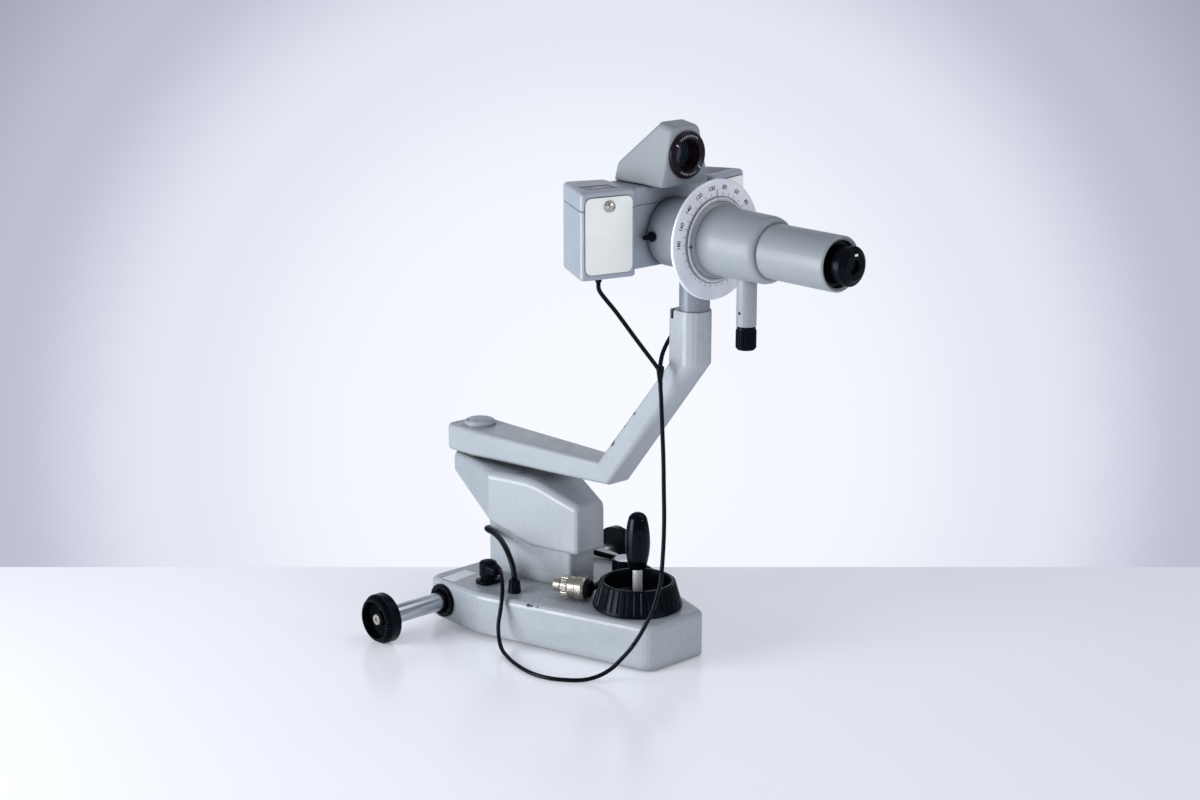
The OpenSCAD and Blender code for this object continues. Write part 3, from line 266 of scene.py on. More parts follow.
class Paint:
    """A node material with short calls for what every finish here needs. Lengths are in metres."""

    def __init__(self, name, color, roughness, metallic=0.0, specular=0.5, coat=0.0):
        self.material = bpy.data.materials.new(name)
        self.material.use_nodes = True
        self.nodes = self.material.node_tree.nodes
        self.links = self.material.node_tree.links
        self.shader = self.nodes["Principled BSDF"]
        self.set("Base Color", (*color, 1))
        self.set("Roughness", roughness)
        self.set("Metallic", metallic)
        self.set("Specular IOR Level", specular)
        self.set("Coat Weight", coat)
        self.color = color
        self.coordinates = None
        self.normal = None

    def set(self, socket, value):
        self.shader.inputs[socket].default_value = value

    def node(self, kind, **values):
        made = self.nodes.new(kind)
        for key, value in values.items():
            if key in made.inputs:
                made.inputs[key].default_value = value
            else:
                setattr(made, key, value)
        return made

    def place(self):
        if self.coordinates is None:
            self.coordinates = self.node("ShaderNodeTexCoord")
        return self.coordinates.outputs["Object"]

    def noise(self, scale, detail, roughness=0.5, stretch=None):
        """Cloudy noise whose scale is in grains to the metre."""
        made = self.node("ShaderNodeTexNoise", Scale=scale, Detail=detail, Roughness=roughness)
        source = self.place()
        if stretch:
            mapping = self.node("ShaderNodeMapping", Scale=stretch)
            self.links.new(source, mapping.inputs["Vector"])
            source = mapping.outputs["Vector"]
        self.links.new(source, made.inputs["Vector"])
        return made.outputs["Fac"]

    def span(self, source, low, high, within=EVERYWHERE):
        """From low to high as the source runs through the range given by within."""
        made = self.node("ShaderNodeMapRange")
        made.inputs["From Min"].default_value = within[0]
        made.inputs["From Max"].default_value = within[1]
        made.inputs["To Min"].default_value = low
        made.inputs["To Max"].default_value = high
        self.links.new(source, made.inputs["Value"])
        return made.outputs["Result"]

    def math(self, operation, a, b):
        made = self.node("ShaderNodeMath", operation=operation)
        self.links.new(a, made.inputs[0])
        self.links.new(b, made.inputs[1])
        return made.outputs["Value"]

    def mix_color(self, source, other):
        """Lays the other colour over what is there, as far as the source says."""
        mix = self.node("ShaderNodeMix", data_type="RGBA")
        mix.inputs[MIX_UNDER].default_value = (*self.color, 1)
        mix.inputs[MIX_OVER].default_value = (*other, 1)
        current = self.shader.inputs["Base Color"]
        if current.is_linked:
            self.links.new(current.links[0].from_socket, mix.inputs[MIX_UNDER])
        self.links.new(source, mix.inputs[MIX_FACTOR])
        self.links.new(mix.outputs[MIX_RESULT], current)

    def vary_roughness(self, source, low, high):
        self.links.new(self.span(source, low, high), self.shader.inputs["Roughness"])

    def bump(self, source, strength, distance):
        """Adds to the rounded edges' normal, so it comes after soft_edges."""
        made = self.node("ShaderNodeBump", Strength=strength, Distance=distance)
        self.links.new(source, made.inputs["Height"])
        self.links.new(self.normal, made.inputs["Normal"])
        self.links.new(made.outputs["Normal"], self.shader.inputs["Normal"])

    def soft_edges(self, radius):
        """Rounds the shading over sharp edges, the way paint and plastic run over them."""
        made = self.node("ShaderNodeBevel", Radius=radius, samples=BEVEL_SAMPLES)
        self.normal = made.outputs["Normal"]
        self.links.new(self.normal, self.shader.inputs["Normal"])

    def edges(self, radius):
        """One along sharp edges, zero on flat and gently curved surfaces."""
        wide = self.node("ShaderNodeBevel", Radius=radius, samples=BEVEL_SAMPLES)
        face = self.node("ShaderNodeNewGeometry")
        dot = self.node("ShaderNodeVectorMath", operation="DOT_PRODUCT")
        self.links.new(wide.outputs["Normal"], dot.inputs[0])
        self.links.new(face.outputs["Normal"], dot.inputs[1])
        return self.span(dot.outputs["Value"], 1, 0, EDGE_RANGE)

    def crevices(self, reach, factor):
        """Painted shade: darkens the colour in seams and corners, where ambient occlusion finds
        less light.
        """
        hidden = self.node("ShaderNodeAmbientOcclusion", samples=HIDDEN_SAMPLES, Distance=reach)
        painted_shade_mask = self.span(hidden.outputs["AO"], 1, 0, CREVICE_RANGE)
        self.mix_color(painted_shade_mask, shade(self.color, factor))

    def spot(self, centre, radius):
        """One near a point of the node, ragged at its rim. Both are given in millimetres."""
        reach = radius * MM
        distance = self.node("ShaderNodeVectorMath", operation="DISTANCE")
        distance.inputs[1].default_value = tuple(c * MM for c in centre)
        self.links.new(self.place(), distance.inputs[0])
        wander = RIM_WANDER * reach
        rough = self.span(self.noise(*RAGGED_RIM), -wander, wander)
        ragged = self.math("ADD", distance.outputs["Value"], rough)
        return self.span(ragged, 1, 0, (RIM_START * reach, reach))


def on_node(name, chips):
    """Chip places given in the shared frame, moved into the node's own coordinates. All in mm."""
    back = NODES[name].matrix_world.inverted()
    return [(tuple(back @ (Vector(centre) * MM) / MM), radius) for centre, radius in chips]


def enamel(name, color, roughness, worn=0.0, chips=()):
    """Sprayed enamel: faint orange peel and clouds, uneven gloss, painted shade in seams, and
    chips down to dark metal.
    """
    paint = Paint(name, color, roughness, specular=0.45, coat=0.08)
    paint.soft_edges(radius=0.0009)
    paint.mix_color(paint.span(paint.noise(*ENAMEL_CLOUDS), 0, 1), shade(color, 0.93))
    paint.mix_color(paint.span(paint.noise(*ENAMEL_STAINS), 0, 0.5, SPARSE), shade(color, 0.88))
    edge = paint.edges(radius=0.0014)
    pale = paint.math("MULTIPLY", edge, paint.span(paint.noise(*PALE_EDGES), 0, 0.35, PATCHY))
    paint.mix_color(pale, shade(color, 1.25))
    if worn:
        bare = [end - WORN_SHIFT * worn for end in BARE_RANGE]
        rubbed = paint.span(paint.noise(*BARE_EDGES), 0, 1, bare)
        paint.mix_color(paint.math("MULTIPLY", edge, rubbed), CHIPPED)
    # Painted shade: seams and corners darkened by ambient occlusion
    paint.crevices(reach=0.016, factor=0.35)
    for centre, radius in chips:
        paint.mix_color(paint.spot(centre, radius), CHIPPED)
    paint.vary_roughness(paint.noise(*ENAMEL_GLOSS), roughness - 0.06, roughness + 0.08)
    paint.bump(paint.noise(*ORANGE_PEEL), strength=0.14, distance=0.00012)
    return paint.material


def moulded(name, color, roughness, grain=1800, dust=0.001, specular=0.16):
    """Moulded plastic, rubber or lacquer: fine grain, dust, uneven sheen, paler rubbed edges."""
    paint = Paint(name, color, roughness, specular=specular)
    paint.set("Specular Tint", COOL_SHEEN)
    paint.soft_edges(radius=0.0005)
    dusty = tuple(c + dust for c in color)
    paint.mix_color(paint.span(paint.noise(*DUST), 0, 1, SPARSE), dusty)
    patches = paint.span(paint.noise(*RUBBED_PATCHES), 0, 0.7, PATCHY)
    rubbed = paint.math("MULTIPLY", paint.edges(radius=0.0008), patches)
    paint.mix_color(rubbed, tuple(c * 1.5 + 0.006 for c in color))
    paint.vary_roughness(paint.noise(*PLASTIC_GLOSS), roughness - 0.1, roughness + 0.12)
    paint.bump(paint.noise(grain, 2), strength=0.12, distance=0.00006)
    return paint.material


def polished(name, color, roughness, stretch=(1, 1, 1), marks=0.08, metallic=1.0):
    """Turned or ground metal: fine marks, which stretch draws out one way, and faint tarnish."""
    paint = Paint(name, color, roughness, metallic=metallic)
    paint.soft_edges(radius=0.0003)
    lines = paint.noise(*TOOL_MARKS, stretch)
    paint.vary_roughness(lines, max(0.03, roughness - 0.07), roughness + 0.1)
    paint.mix_color(paint.span(paint.noise(*TARNISH), 0, 1), shade(color, 0.82))
    paint.bump(lines, strength=marks, distance=0.00004)
    return paint.material


def spun(name, color, roughness):
    """Anodised disc with fine turning marks round its middle, which spread the light outwards."""
    paint = Paint(name, color, roughness, metallic=0.35)
    around = paint.node("ShaderNodeTangent", direction_type="RADIAL", axis="Y")
    paint.links.new(around.outputs["Tangent"], paint.shader.inputs["Tangent"])
    paint.set("Anisotropic", 0.8)
    paint.soft_edges(radius=0.0004)
    paint.mix_color(paint.span(paint.noise(*DISC_STAINS), 0, 1), shade(color, 0.93))
    paint.vary_roughness(paint.noise(*DISC_GLOSS), roughness - 0.04, roughness + 0.06)
    return paint.material


def glass(name, tint):
    """Coated glass, dark and partly clear, with faint smears in its gloss."""
    paint = Paint(name, tint, roughness=0.03, specular=0.6, coat=0.6)
    paint.set("Transmission Weight", 0.35)
    paint.vary_roughness(paint.noise(*SMEARS), 0.02, 0.06)
    return paint.material


def printed(name, color):
    """Ink or paper: flat colour broken by slight wear."""
    paint = Paint(name, color, roughness=0.5, specular=0.35)
    worn = tuple(0.75 * c + 0.05 for c in color)
    paint.mix_color(paint.span(paint.noise(*INK_WEAR), 0, 0.5, SPARSE), worn)
    paint.vary_roughness(paint.noise(*INK_GLOSS), 0.45, 0.6)
    return paint.material


# Chips in the enamel, as the middle and radius of each in millimetres
BASE_CHIPS = on_node("base_casting", (
    ((-83.6, 80.6, 47.8), 2.4), ((-82.2, 77, 48), 1.7), ((-79.8, 70.2, 48.2), 1.1),
))
ARM_CHIPS = on_node("swing_arm", (
    ((-16.2, 281, 197), 2.0), ((-21, 264.5, 197), 1.6), ((-21.5, 263, 163.8), 2.8),
    ((23.1, 263.5, 197), 2.2), ((-16.8, 21.6, 226.2), 2.4), ((-16.8, 18.8, 229.6), 2.2),
    ((-16.7, 2.6, 249.3), 1.6), ((-17, -12, 266.6), 2.2),
))
CAP_CHIPS = on_node("pivot_cap", (
    ((-12.2, 271.0, 200), 1.7), ((-13.6, 264, 202.2), 2.4), ((-9.4, 254, 203), 1.0),
))

MATERIALS = {
    "iron_paint": enamel("enamel_on_iron", GREEN_GREY, 0.28, chips=BASE_CHIPS),
    "cast_paint": enamel("enamel_on_casting", GREEN_GREY, 0.32),
    "arm_paint": enamel("enamel_on_arm", GREEN_GREY, 0.32, worn=0.3, chips=ARM_CHIPS),
    # Painted shade: the head's enamel is the same green grey, darkened to 0.8 because less light
    # reaches the head
    "head_paint_painted_shade": enamel("enamel_on_head_painted_shade", shade(GREEN_GREY, 0.80), 0.46),
    "cap_paint": enamel("enamel_on_cap", shade(GREEN_GREY, 1.05), 0.36, chips=CAP_CHIPS),
    "post_paint": enamel("enamel_on_post", (0.21, 0.235, 0.275), 0.30),
    "box_paint": enamel("enamel_on_boxes", BOX_GREY, 0.38),
    "plate_paint": enamel("enamel_off_white", (0.93, 0.955, 0.93), 0.42),
    "panel_grey": enamel("enamel_panel", (0.17, 0.185, 0.225), 0.45),
    "disc_white": enamel("enamel_disc", (0.60, 0.62, 0.69), 0.36),
    "disc_metal": spun("anodised_disc", (0.86, 0.88, 0.95), 0.36),
    "black_plastic": moulded("black_plastic", BLACK, 0.28, specular=0.1),
    "ring_plastic": moulded("ring_plastic", (0.012, 0.005, 0.008), 0.26, specular=0.2),
    "black_grip": moulded("black_grip", (0.001, 0.0015, 0.003), 0.12, grain=500, dust=0.0),
    "black_metal": moulded("black_lacquer", (0.0025, 0.0025, 0.003), 0.22, grain=900),
    "knob_grey": moulded("knob_grey", (0.80, 0.83, 0.90), 0.42, grain=1500, dust=0.03),
    "steel": polished("ground_steel", (0.62, 0.65, 0.70), 0.20, stretch=(1, 40, 40)),
    "chrome": polished("chrome", (0.95, 0.96, 0.98), 0.2, marks=0.03, metallic=0.6),
    "nickel": polished("nickel", (0.50, 0.47, 0.42), 0.24, marks=0.04, metallic=0.85),
    "bronze": polished("bronze", (0.50, 0.32, 0.13), 0.35),
    "cord_rubber": moulded("cord_rubber", (0.002, 0.002, 0.003), 0.36, grain=2500),
    "glass": glass("coated_glass", (0.02, 0.03, 0.045)),
    "ink": printed("ink_black", (0.012, 0.012, 0.016)),
    "ink_white": printed("ink_white", (0.80, 0.80, 0.82)),
    "label_white": printed("label_paper", (0.93, 0.94, 0.97)),
}

# Nodes whose finish isn't the one that their slot in the record names
FINISHES = {
    "swing_arm": "arm_paint",
    "pivot_cap": "cap_paint",
    "head_post": "post_paint",
    # Painted shade: these head castings take the darkened copy of the enamel
    "bearing_cylinder": "head_paint_painted_shade",
    "telescope_tube": "head_paint_painted_shade",
    "small_tube": "head_paint_painted_shade",
    "prism_housing": "head_paint_painted_shade",
    "reading_ring": "ring_plastic",
    "degree_disc": "disc_metal",
    "axle_sleeves": "black_metal",
    "wheel_screws": "nickel",
}


def dress_nodes():
    slots = {row["node"]: row["material_slot"] for row in frame["record"]["subparts"]}
    for name, node in NODES.items():
        node.data.materials.clear()
        node.data.materials.append(MATERIALS[FINISHES.get(name, slots[name])])


# Cords: routes in millimetres, as in the part
LEFT_BRANCH = (
    (-90, -37, 418), (-89.6, -37.4, 411), (-84, -40, 402), (-74, -45, 388), (-58, -53, 363),
    (-45.5, -59, 344), (-38, -63, 332.5), (-33, -65, 325),
)
RIGHT_BRANCH = (
    (90, -37, 418), (90, -37, 409), (86, -38, 400), (76, -38, 391), (56, -39, 379),
    (36, -39, 367), (20, -40, 358), (5, -42, 349), (-13, -50, 338), (-24, -58, 331),
    (-31, -64, 325),
)
TRUNK = (
    (-32, -66, 312.7), (-32, -66, 306), (-33, -68, 297), (-34, -71, 267), (-34, -73, 235),
    (-36, -76, 204), (-38, -79, 172), (-41, -81, 141), (-46, -83, 110), (-51, -83, 95),
    (-56, -82, 80), (-61, -78, 66), (-66, -73, 52), (-71, -66, 38), (-78, -59, 26),
    (-86, -52, 15), (-96, -43, 7), (-107, -33, 3), (-118, -21, 2.3), (-127, -8, 2.3),
    (-132, 7, 2.3), (-133, 23, 2.3), (-131, 39, 2.3), (-127, 56, 2.5), (-122, 71, 3),
    (-117, 85, 5), (-111, 97, 12), (-106, 104, 25), (-101, 106, 40), (-95, 110, 54),
    (-87, 119, 63), (-79, 130, 67), (-73, 138, 68), (-71, 144.7, 68),
)
CABLE = (
    (-71, 118, 64.8), (-71, 118, 69), (-70, 122, 79), (-68, 129, 86.4), (-65, 137, 91.4),
    (-60, 148, 94), (-54, 160, 95), (-48, 173, 94.8), (-43, 186, 94.6), (-40.8, 196, 94.3),
    (-37, 204.5, 93.5), (-29, 210, 91.5), (-14, 212.5, 87), (4, 213, 82), (22, 211.5, 77),
    (38, 207, 71), (50, 199, 66), (59, 187, 62), (65, 172, 58.5), (70, 157, 56),
    (75, 141, 54), (79, 123, 53.4), (82, 106, 53.3), (84, 88, 53.3), (82, 70, 53.3),
    (76, 55, 53.5), (64, 46, 54), (47, 45, 55), (29, 50, 57), (12, 55.5, 59.5),
    (-2.5, 53.8, 61.5), (-15.5, 48.1, 62.6),
)
LAMP_CORD_D = 4.4 * MM
CABLE_D = 6.2 * MM
CORD_STEP = 3 * MM
CURVE_STEPS = 12
SMOOTHINGS = 6

# The trunk is cut at these heights in metres. Each stretch is listed with two bodies, which
# only mark it as not the last one; the last one, which lies on the table, rides on the base
TRUNK_CUTS = (0.255, 0.120, 0.045)
TRUNK_STRETCHES = (
    ("trunk_upper", ("post", "arm")), ("trunk_middle", ("arm", "lift")),
    ("trunk_lower", ("lift", "base")), ("trunk_table", None),
)

# Small rubber pieces on the cords, in millimetres
SMALL_STEPS = 40
CABLE_SIDES = 24
JUNCTION_AT = Vector((-32, -65.5, 321)) * MM
JUNCTION_FLATNESS = 0.75
JUNCTION_PROFILE = (
    (0, -8.5), (2.5, -8.5), (2.8, -7), (3.4, -3), (4.0, 1), (4.6, 5), (4.4, 7), (3.2, 8), (0, 8.4),
)
GROMMET_AT = (90, -37, 418.4)
GROMMET_PROFILE = ((2.3, 0), (2.7, 0.1), (3.1, 0.6), (3.3, 1.6), (3.3, 3.5), (0, 3.5))
BOOT_PROFILE = (
    (8.9, -2.8), (8.9, 0.4), (10.4, 0.45), (10.3, 1.2), (9.9, 2.6), (9.2, 4.2), (8.2, 5.2),
    (5, 5.5), (0, 5.5),
)
# The ribbed sleeve that carries the supply cable out of its connector's boot
OUTLET_START = 4.1
OUTLET_OVERLAP = 1.2
OUTLET_RADIUS = 3.9
OUTLET_TAPER = 0.4
OUTLET_PLAIN = 0.3
OUTLET_MOUTH = (2.9, 0.2)
OUTLET_RIBS = 8


def smooth_line(route):
    """Points CORD_STEP apart along a smooth curve that follows the route."""
    pts = [Vector(p) * MM for p in route]
    pts = [2 * pts[0] - pts[1]] + pts + [2 * pts[-1] - pts[-2]]
    fine = []
    for i in range(1, len(pts) - 2):
        p0, p1, p2, p3 = pts[i - 1:i + 3]
        for k in range(CURVE_STEPS):
            t = k / CURVE_STEPS
            square = (2 * p0 - 5 * p1 + 4 * p2 - p3) * t ** 2
            cube = (3 * p1 - p0 - 3 * p2 + p3) * t ** 3
            fine.append(0.5 * (2 * p1 + (p2 - p0) * t + square + cube))
    fine.append(pts[-2])
    for _ in range(SMOOTHINGS):
        middle = [(a + 2 * b + c) / 4 for a, b, c in zip(fine, fine[1:], fine[2:])]
        fine = [fine[0], *middle, fine[-1]]
    lengths = [0.0]
    for a, b in zip(fine, fine[1:]):
        lengths.append(lengths[-1] + (b - a).length)
    count = max(2, round(lengths[-1] / CORD_STEP))
    line, k = [], 0
    for i in range(count + 1):
        s = lengths[-1] * i / count
        while k < len(lengths) - 2 and lengths[k + 1] < s:
            k += 1
        t = (s - lengths[k]) / max(SAME_POINT, lengths[k + 1] - lengths[k])
        line.append(fine[k].lerp(fine[k + 1], min(1.0, t)))
    return line


def split_at(line, heights):
    """The line cut where it first falls below each height, in order."""
    parts, start = [], 0
    for z in heights:
        cut = next(i for i in range(start + 1, len(line)) if line[i].z <= z)
        parts.append(line[start:cut + 1])
        start = cut
    parts.append(line[start:])
    return parts


def tube(name, line, radius, sides=20):
    """A round tube along the line, closed at both ends, without twist."""
    verts, faces = [], []
    side = None
    for i, p in enumerate(line):
        t = (line[min(i + 1, len(line) - 1)] - line[max(i - 1, 0)]).normalized()
        if side is None:
            side = t.orthogonal().normalized()
        side = (side - t * side.dot(t)).normalized()
        other = t.cross(side)
        for k in range(sides):
            a = 2 * math.pi * k / sides
            verts.append(p + radius * (math.cos(a) * side + math.sin(a) * other))
    for i in range(len(line) - 1):
        for k in range(sides):
            m = (k + 1) % sides
            faces.append((i * sides + k, i * sides + m, (i + 1) * sides + m, (i + 1) * sides + k))
    faces.append(tuple(reversed(range(sides))))
    faces.append(tuple(range((len(line) - 1) * sides, len(line) * sides)))
    return new_object(name, verts, faces)


def declare_cord(piece):
    """Gives a cord its rubber."""
    piece.data.materials.append(MATERIALS["cord_rubber"])


def finish_rubber(piece, node, body):
    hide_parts(node)
    finish_piece(piece, body, MATERIALS["cord_rubber"])


def make_lamp_cord():
    for name, route in (("left_lamp_cord", LEFT_BRANCH), ("right_lamp_cord", RIGHT_BRANCH)):
        line = smooth_line(route)
        piece = tube(name, line, LAMP_CORD_D / 2)
        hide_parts("lamp_cord_branches")
        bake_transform(piece)
        declare_cord(piece)

    place = Matrix.Translation(JUNCTION_AT) @ Matrix.Diagonal((1, JUNCTION_FLATNESS, 1, 1))
    junction = turned("cord_junction", JUNCTION_PROFILE, place, SMALL_STEPS)
    finish_rubber(junction, "lamp_cord_branches", "post")

    x, y, z = GROMMET_AT
    for side, label in ((-1, "left"), (1, "right")):
        place = Matrix.Translation((side * x * MM, y * MM, z * MM))
        grommet = turned(label + "_grommet", GROMMET_PROFILE, place, SMALL_STEPS)
        finish_rubber(grommet, "lamp_cord_branches", "head")

    for (name, bodies), part in zip(TRUNK_STRETCHES, split_at(smooth_line(TRUNK), TRUNK_CUTS)):
        piece = tube(name, part, LAMP_CORD_D / 2)
        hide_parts("lamp_cord_trunk")
        if bodies:
            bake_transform(piece)
            declare_cord(piece)
        else:
            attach(piece, "base")
            declare_cord(piece)


def make_supply_cable():
    line = smooth_line(CABLE)
    piece = tube("supply_cable", line, CABLE_D / 2, CABLE_SIDES)
    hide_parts("connector_cable")
    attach(piece, "base")
    declare_cord(piece)

    out = Vector((math.cos(CONNECTOR_TURN), math.sin(CONNECTOR_TURN), 0))
    place = facing(CONNECTOR_TIP + out * CONNECTOR_LENGTH, out)
    boot = turned("connector_boot", BOOT_PROFILE, place)
    finish_rubber(boot, "connector_cable", "base")

    root = CONNECTOR_TIP + out * (CONNECTOR_LENGTH + OUTLET_START)
    away = Vector(CABLE[-1]) - root
    reach = away.length + OUTLET_OVERLAP
    profile = [(0, 0)]
    for k in range(OUTLET_RIBS + 1):
        along = k / OUTLET_RIBS
        radius = (OUTLET_RADIUS - OUTLET_TAPER * along) * (1.0 if k % 2 else FLUTE)
        profile.append((radius, reach * (OUTLET_PLAIN + (1 - OUTLET_PLAIN) * along)))
    profile.append((OUTLET_MOUTH[0], reach + OUTLET_MOUTH[1]))
    outlet = turned("connector_outlet", profile, facing(root, away), SMALL_STEPS)
    finish_rubber(outlet, "connector_cable", "base")


# Printed marks, in millimetres and in degrees from the right. A tick or stroke is given by the
# radius of its inner and outer end
DIAL_INK = 0.06
SPOT_INK = 0.05
SCALE_RISE = 0.25
SCALE_PROFILE = ((36.7, 0), (36.7, 0.2), (41.2, SCALE_RISE), (41.7, 0.05), (41.7, -0.6))
SCALE_STEPS = 144
RING_STEPS = 120
DIGIT_SHARE = 0.72
DIGIT_WEIGHT = 0.028
NUMBER_HEIGHT = 4.4
NUMBER_RADIUS = 52
NUMBER_SHIFT = -1
NUMBER_STEP = 20
DISC_STEP = 10
DISC_TICK = (44.4, 46.8)
DISC_STROKE = (42.6, 50.3)
DISC_RING = 43.0
TOP_STROKE = 90.5
SCALE_STEP = 3
LONG_STEP = 15
SCALE_TICK = (38.6, 41.0)
SCALE_LONG_TICK = (38.6, 41.5)
SCALE_TOP_STROKE = (36.8, 41.6)
SCALE_STROKE = (38, 41.6)
SCALE_RING = 38.4
POINTER = ((-2.6, 36.7), (2.6, 36.7), (0, 39.2))
POINTER_TURN = 183
READING_TICK = (18.3, 20.2)
READING_TICKS = (*range(55, 126, 7), *range(236, 306, 7))
READING_STROKE = (17.4, 21.4)
READING_STROKES = (146, 318)
EYE_SPOT = (10.3, 12.3)
EYE_SPOT_TURN = 87


def digit_shapes(text, height):
    """The outlines of a number's faces, round its middle."""
    curve = bpy.data.curves.new("digits", "FONT")
    curve.body = text
    curve.size = height / DIGIT_SHARE
    curve.offset = height * DIGIT_WEIGHT
    curve.align_x = "CENTER"
    curve.align_y = "CENTER"
    holder = bpy.data.objects.new("digits", curve)
    bpy.context.collection.objects.link(holder)
    bpy.context.view_layer.update()
    graph = bpy.context.evaluated_depsgraph_get()
    mesh = bpy.data.meshes.new_from_object(holder.evaluated_get(graph))
    shapes = [[tuple(mesh.vertices[i].co.xy) for i in face.vertices] for face in mesh.polygons]
    bpy.data.objects.remove(holder)
    bpy.data.curves.remove(curve)
    bpy.data.meshes.remove(mesh)
    return shapes


class Print:
    """Flat marks a hair in front of a face that looks towards -Y, laid out round the point at."""

    def __init__(self, at):
        self.at = Vector(at) * MM
        self.verts = []
        self.faces = []

    def shape(self, points):
        start = len(self.verts)
        for x, z in points:
            self.verts.append(self.at + Vector((x, 0, z)) * MM)
        self.faces.append(tuple(range(start, len(self.verts))))

    def turned_shape(self, points, angle, radius=0):
        """A shape drawn upright, moved out to the radius, with its top outwards."""
        a = math.radians(angle - 90)
        c, s = math.cos(a), math.sin(a)
        self.shape([(x * c - (y + radius) * s, x * s + (y + radius) * c) for x, y in points])

    def bar(self, ends, angle, width):
        half = width / 2
        inner, outer = ends
        self.turned_shape([(-half, inner), (half, inner), (half, outer), (-half, outer)], angle)

    def digits(self, text, height, radius, angle):
        for points in digit_shapes(text, height):
            self.turned_shape(points, angle, radius)

    def ring(self, radius, width):
        inner, outer = radius - width / 2, radius + width / 2
        for i in range(RING_STEPS):
            a, b = (math.radians(360 * k / RING_STEPS) for k in (i, i + 1))
            corners = ((inner, a), (outer, a), (outer, b), (inner, b))
            self.shape([(r * math.cos(angle), r * math.sin(angle)) for r, angle in corners])

    def build(self, name, body, material):
        piece = new_object(name, self.verts, self.faces, smooth=False)
        finish_piece(piece, body, MATERIALS[material])


def make_dial():
    disc = Print((0, DISC_FRONT_Y - DIAL_INK, AXIS_Z))
    for angle in range(0, 181, NUMBER_STEP):
        disc.digits(str(angle), NUMBER_HEIGHT, NUMBER_RADIUS, angle + NUMBER_SHIFT)
    for angle in range(0, 360, DISC_STEP):
        disc.bar(DISC_TICK, angle, width=0.6)
    disc.bar(DISC_STROKE, TOP_STROKE, width=0.9)
    disc.ring(DISC_RING, width=0.7)
    disc.build("degree_numbers", "post", "ink")

    place = facing((0, FLANGE_FRONT_Y, AXIS_Z), TOWARDS_EYE)
    scale = turned("index_scale", SCALE_PROFILE, place, SCALE_STEPS)
    finish_piece(scale, "head", MATERIALS["disc_metal"])
    marks = Print((0, FLANGE_FRONT_Y - SCALE_RISE - DIAL_INK, AXIS_Z))
    for angle in range(0, 360, SCALE_STEP):
        marks.bar(SCALE_TICK if angle % LONG_STEP else SCALE_LONG_TICK, angle, width=0.5)
    marks.ring(SCALE_RING, width=0.6)
    marks.bar(SCALE_TOP_STROKE, TOP_STROKE, width=0.6)
    marks.bar(SCALE_STROKE, POINTER_TURN, width=0.9)
    marks.turned_shape(POINTER, POINTER_TURN)
    marks.build("index_marks", "head", "ink")


def make_reading_marks():
    marks = Print((0, READING_FRONT_Y - SPOT_INK, READING_Z))
    for angle in READING_TICKS:
        marks.bar(READING_TICK, angle, width=0.5)
    for angle in READING_STROKES:
        marks.bar(READING_STROKE, angle, width=0.9)
    marks.build("reading_marks", "reading_ring", "ink_white")
    spot = Print((0, EYE_FRONT_Y - SPOT_INK, AXIS_Z))
    spot.bar(EYE_SPOT, EYE_SPOT_TURN, width=4.4)
    spot.build("eyepiece_mark", "eyepiece_cap", "ink_white")


# Trim on the lamp boxes and the base, and black sheets of painted shade under the right lid's
# vents: width, height, corner radius and thickness of each, in mm
SEAM_SIZE = (53.2, 77.2, 6.5, 0.3)
PANEL_SIZE = (33.2, 23.2, 1.6, 0.5)
BADGE_SIZE = (12, 4.2, 0.8, 0.4)
VENT_SHADE_SIZE = (2.7, 25.9, 0.2, 1.2)
LABEL_SIZE = (37, 18, 1.0, 0.12)
LABEL_BEND = 0.05
LABEL_AT = (-81.7, 199, 50.05)
LABEL_ALONG = (0.991, 0.131, 0)
SCREW_PROFILE = (
    (5.7, -0.1), (5.7, 0.7), (5.5, 0.88), (4.9, 0.9), (5.12, 1.2), (5.12, 3.5), (4.8, 3.88),
    (4.1, 3.9), (3.9, 4.1), (3.9, 4.5), (3.7, 4.6), (0, 4.6),
)
SCREW_FLUTES = (4, 5)


def box_face(side):
    """Frame of a lamp box's service face at the table's height: X along it, Y up, Z out of it."""
    c, s = math.cos(BOX_TURN), math.sin(BOX_TURN)
    return facing((side * BOX_FACE_X, BOX_FACE_Y, 0), (side * s, -c, 0), (c, side * s, 0))


def on_lid(side, across, z):
    """Level place at the height z on a box's lid, this far across from its middle. All in mm."""
    face = box_face(side)
    spot = face @ Vector((across * MM, 0, LID_MIDDLE * MM)) / MM
    return facing((spot.x, spot.y, z), UP, face.to_3x3() @ Vector((1, 0, 0)))


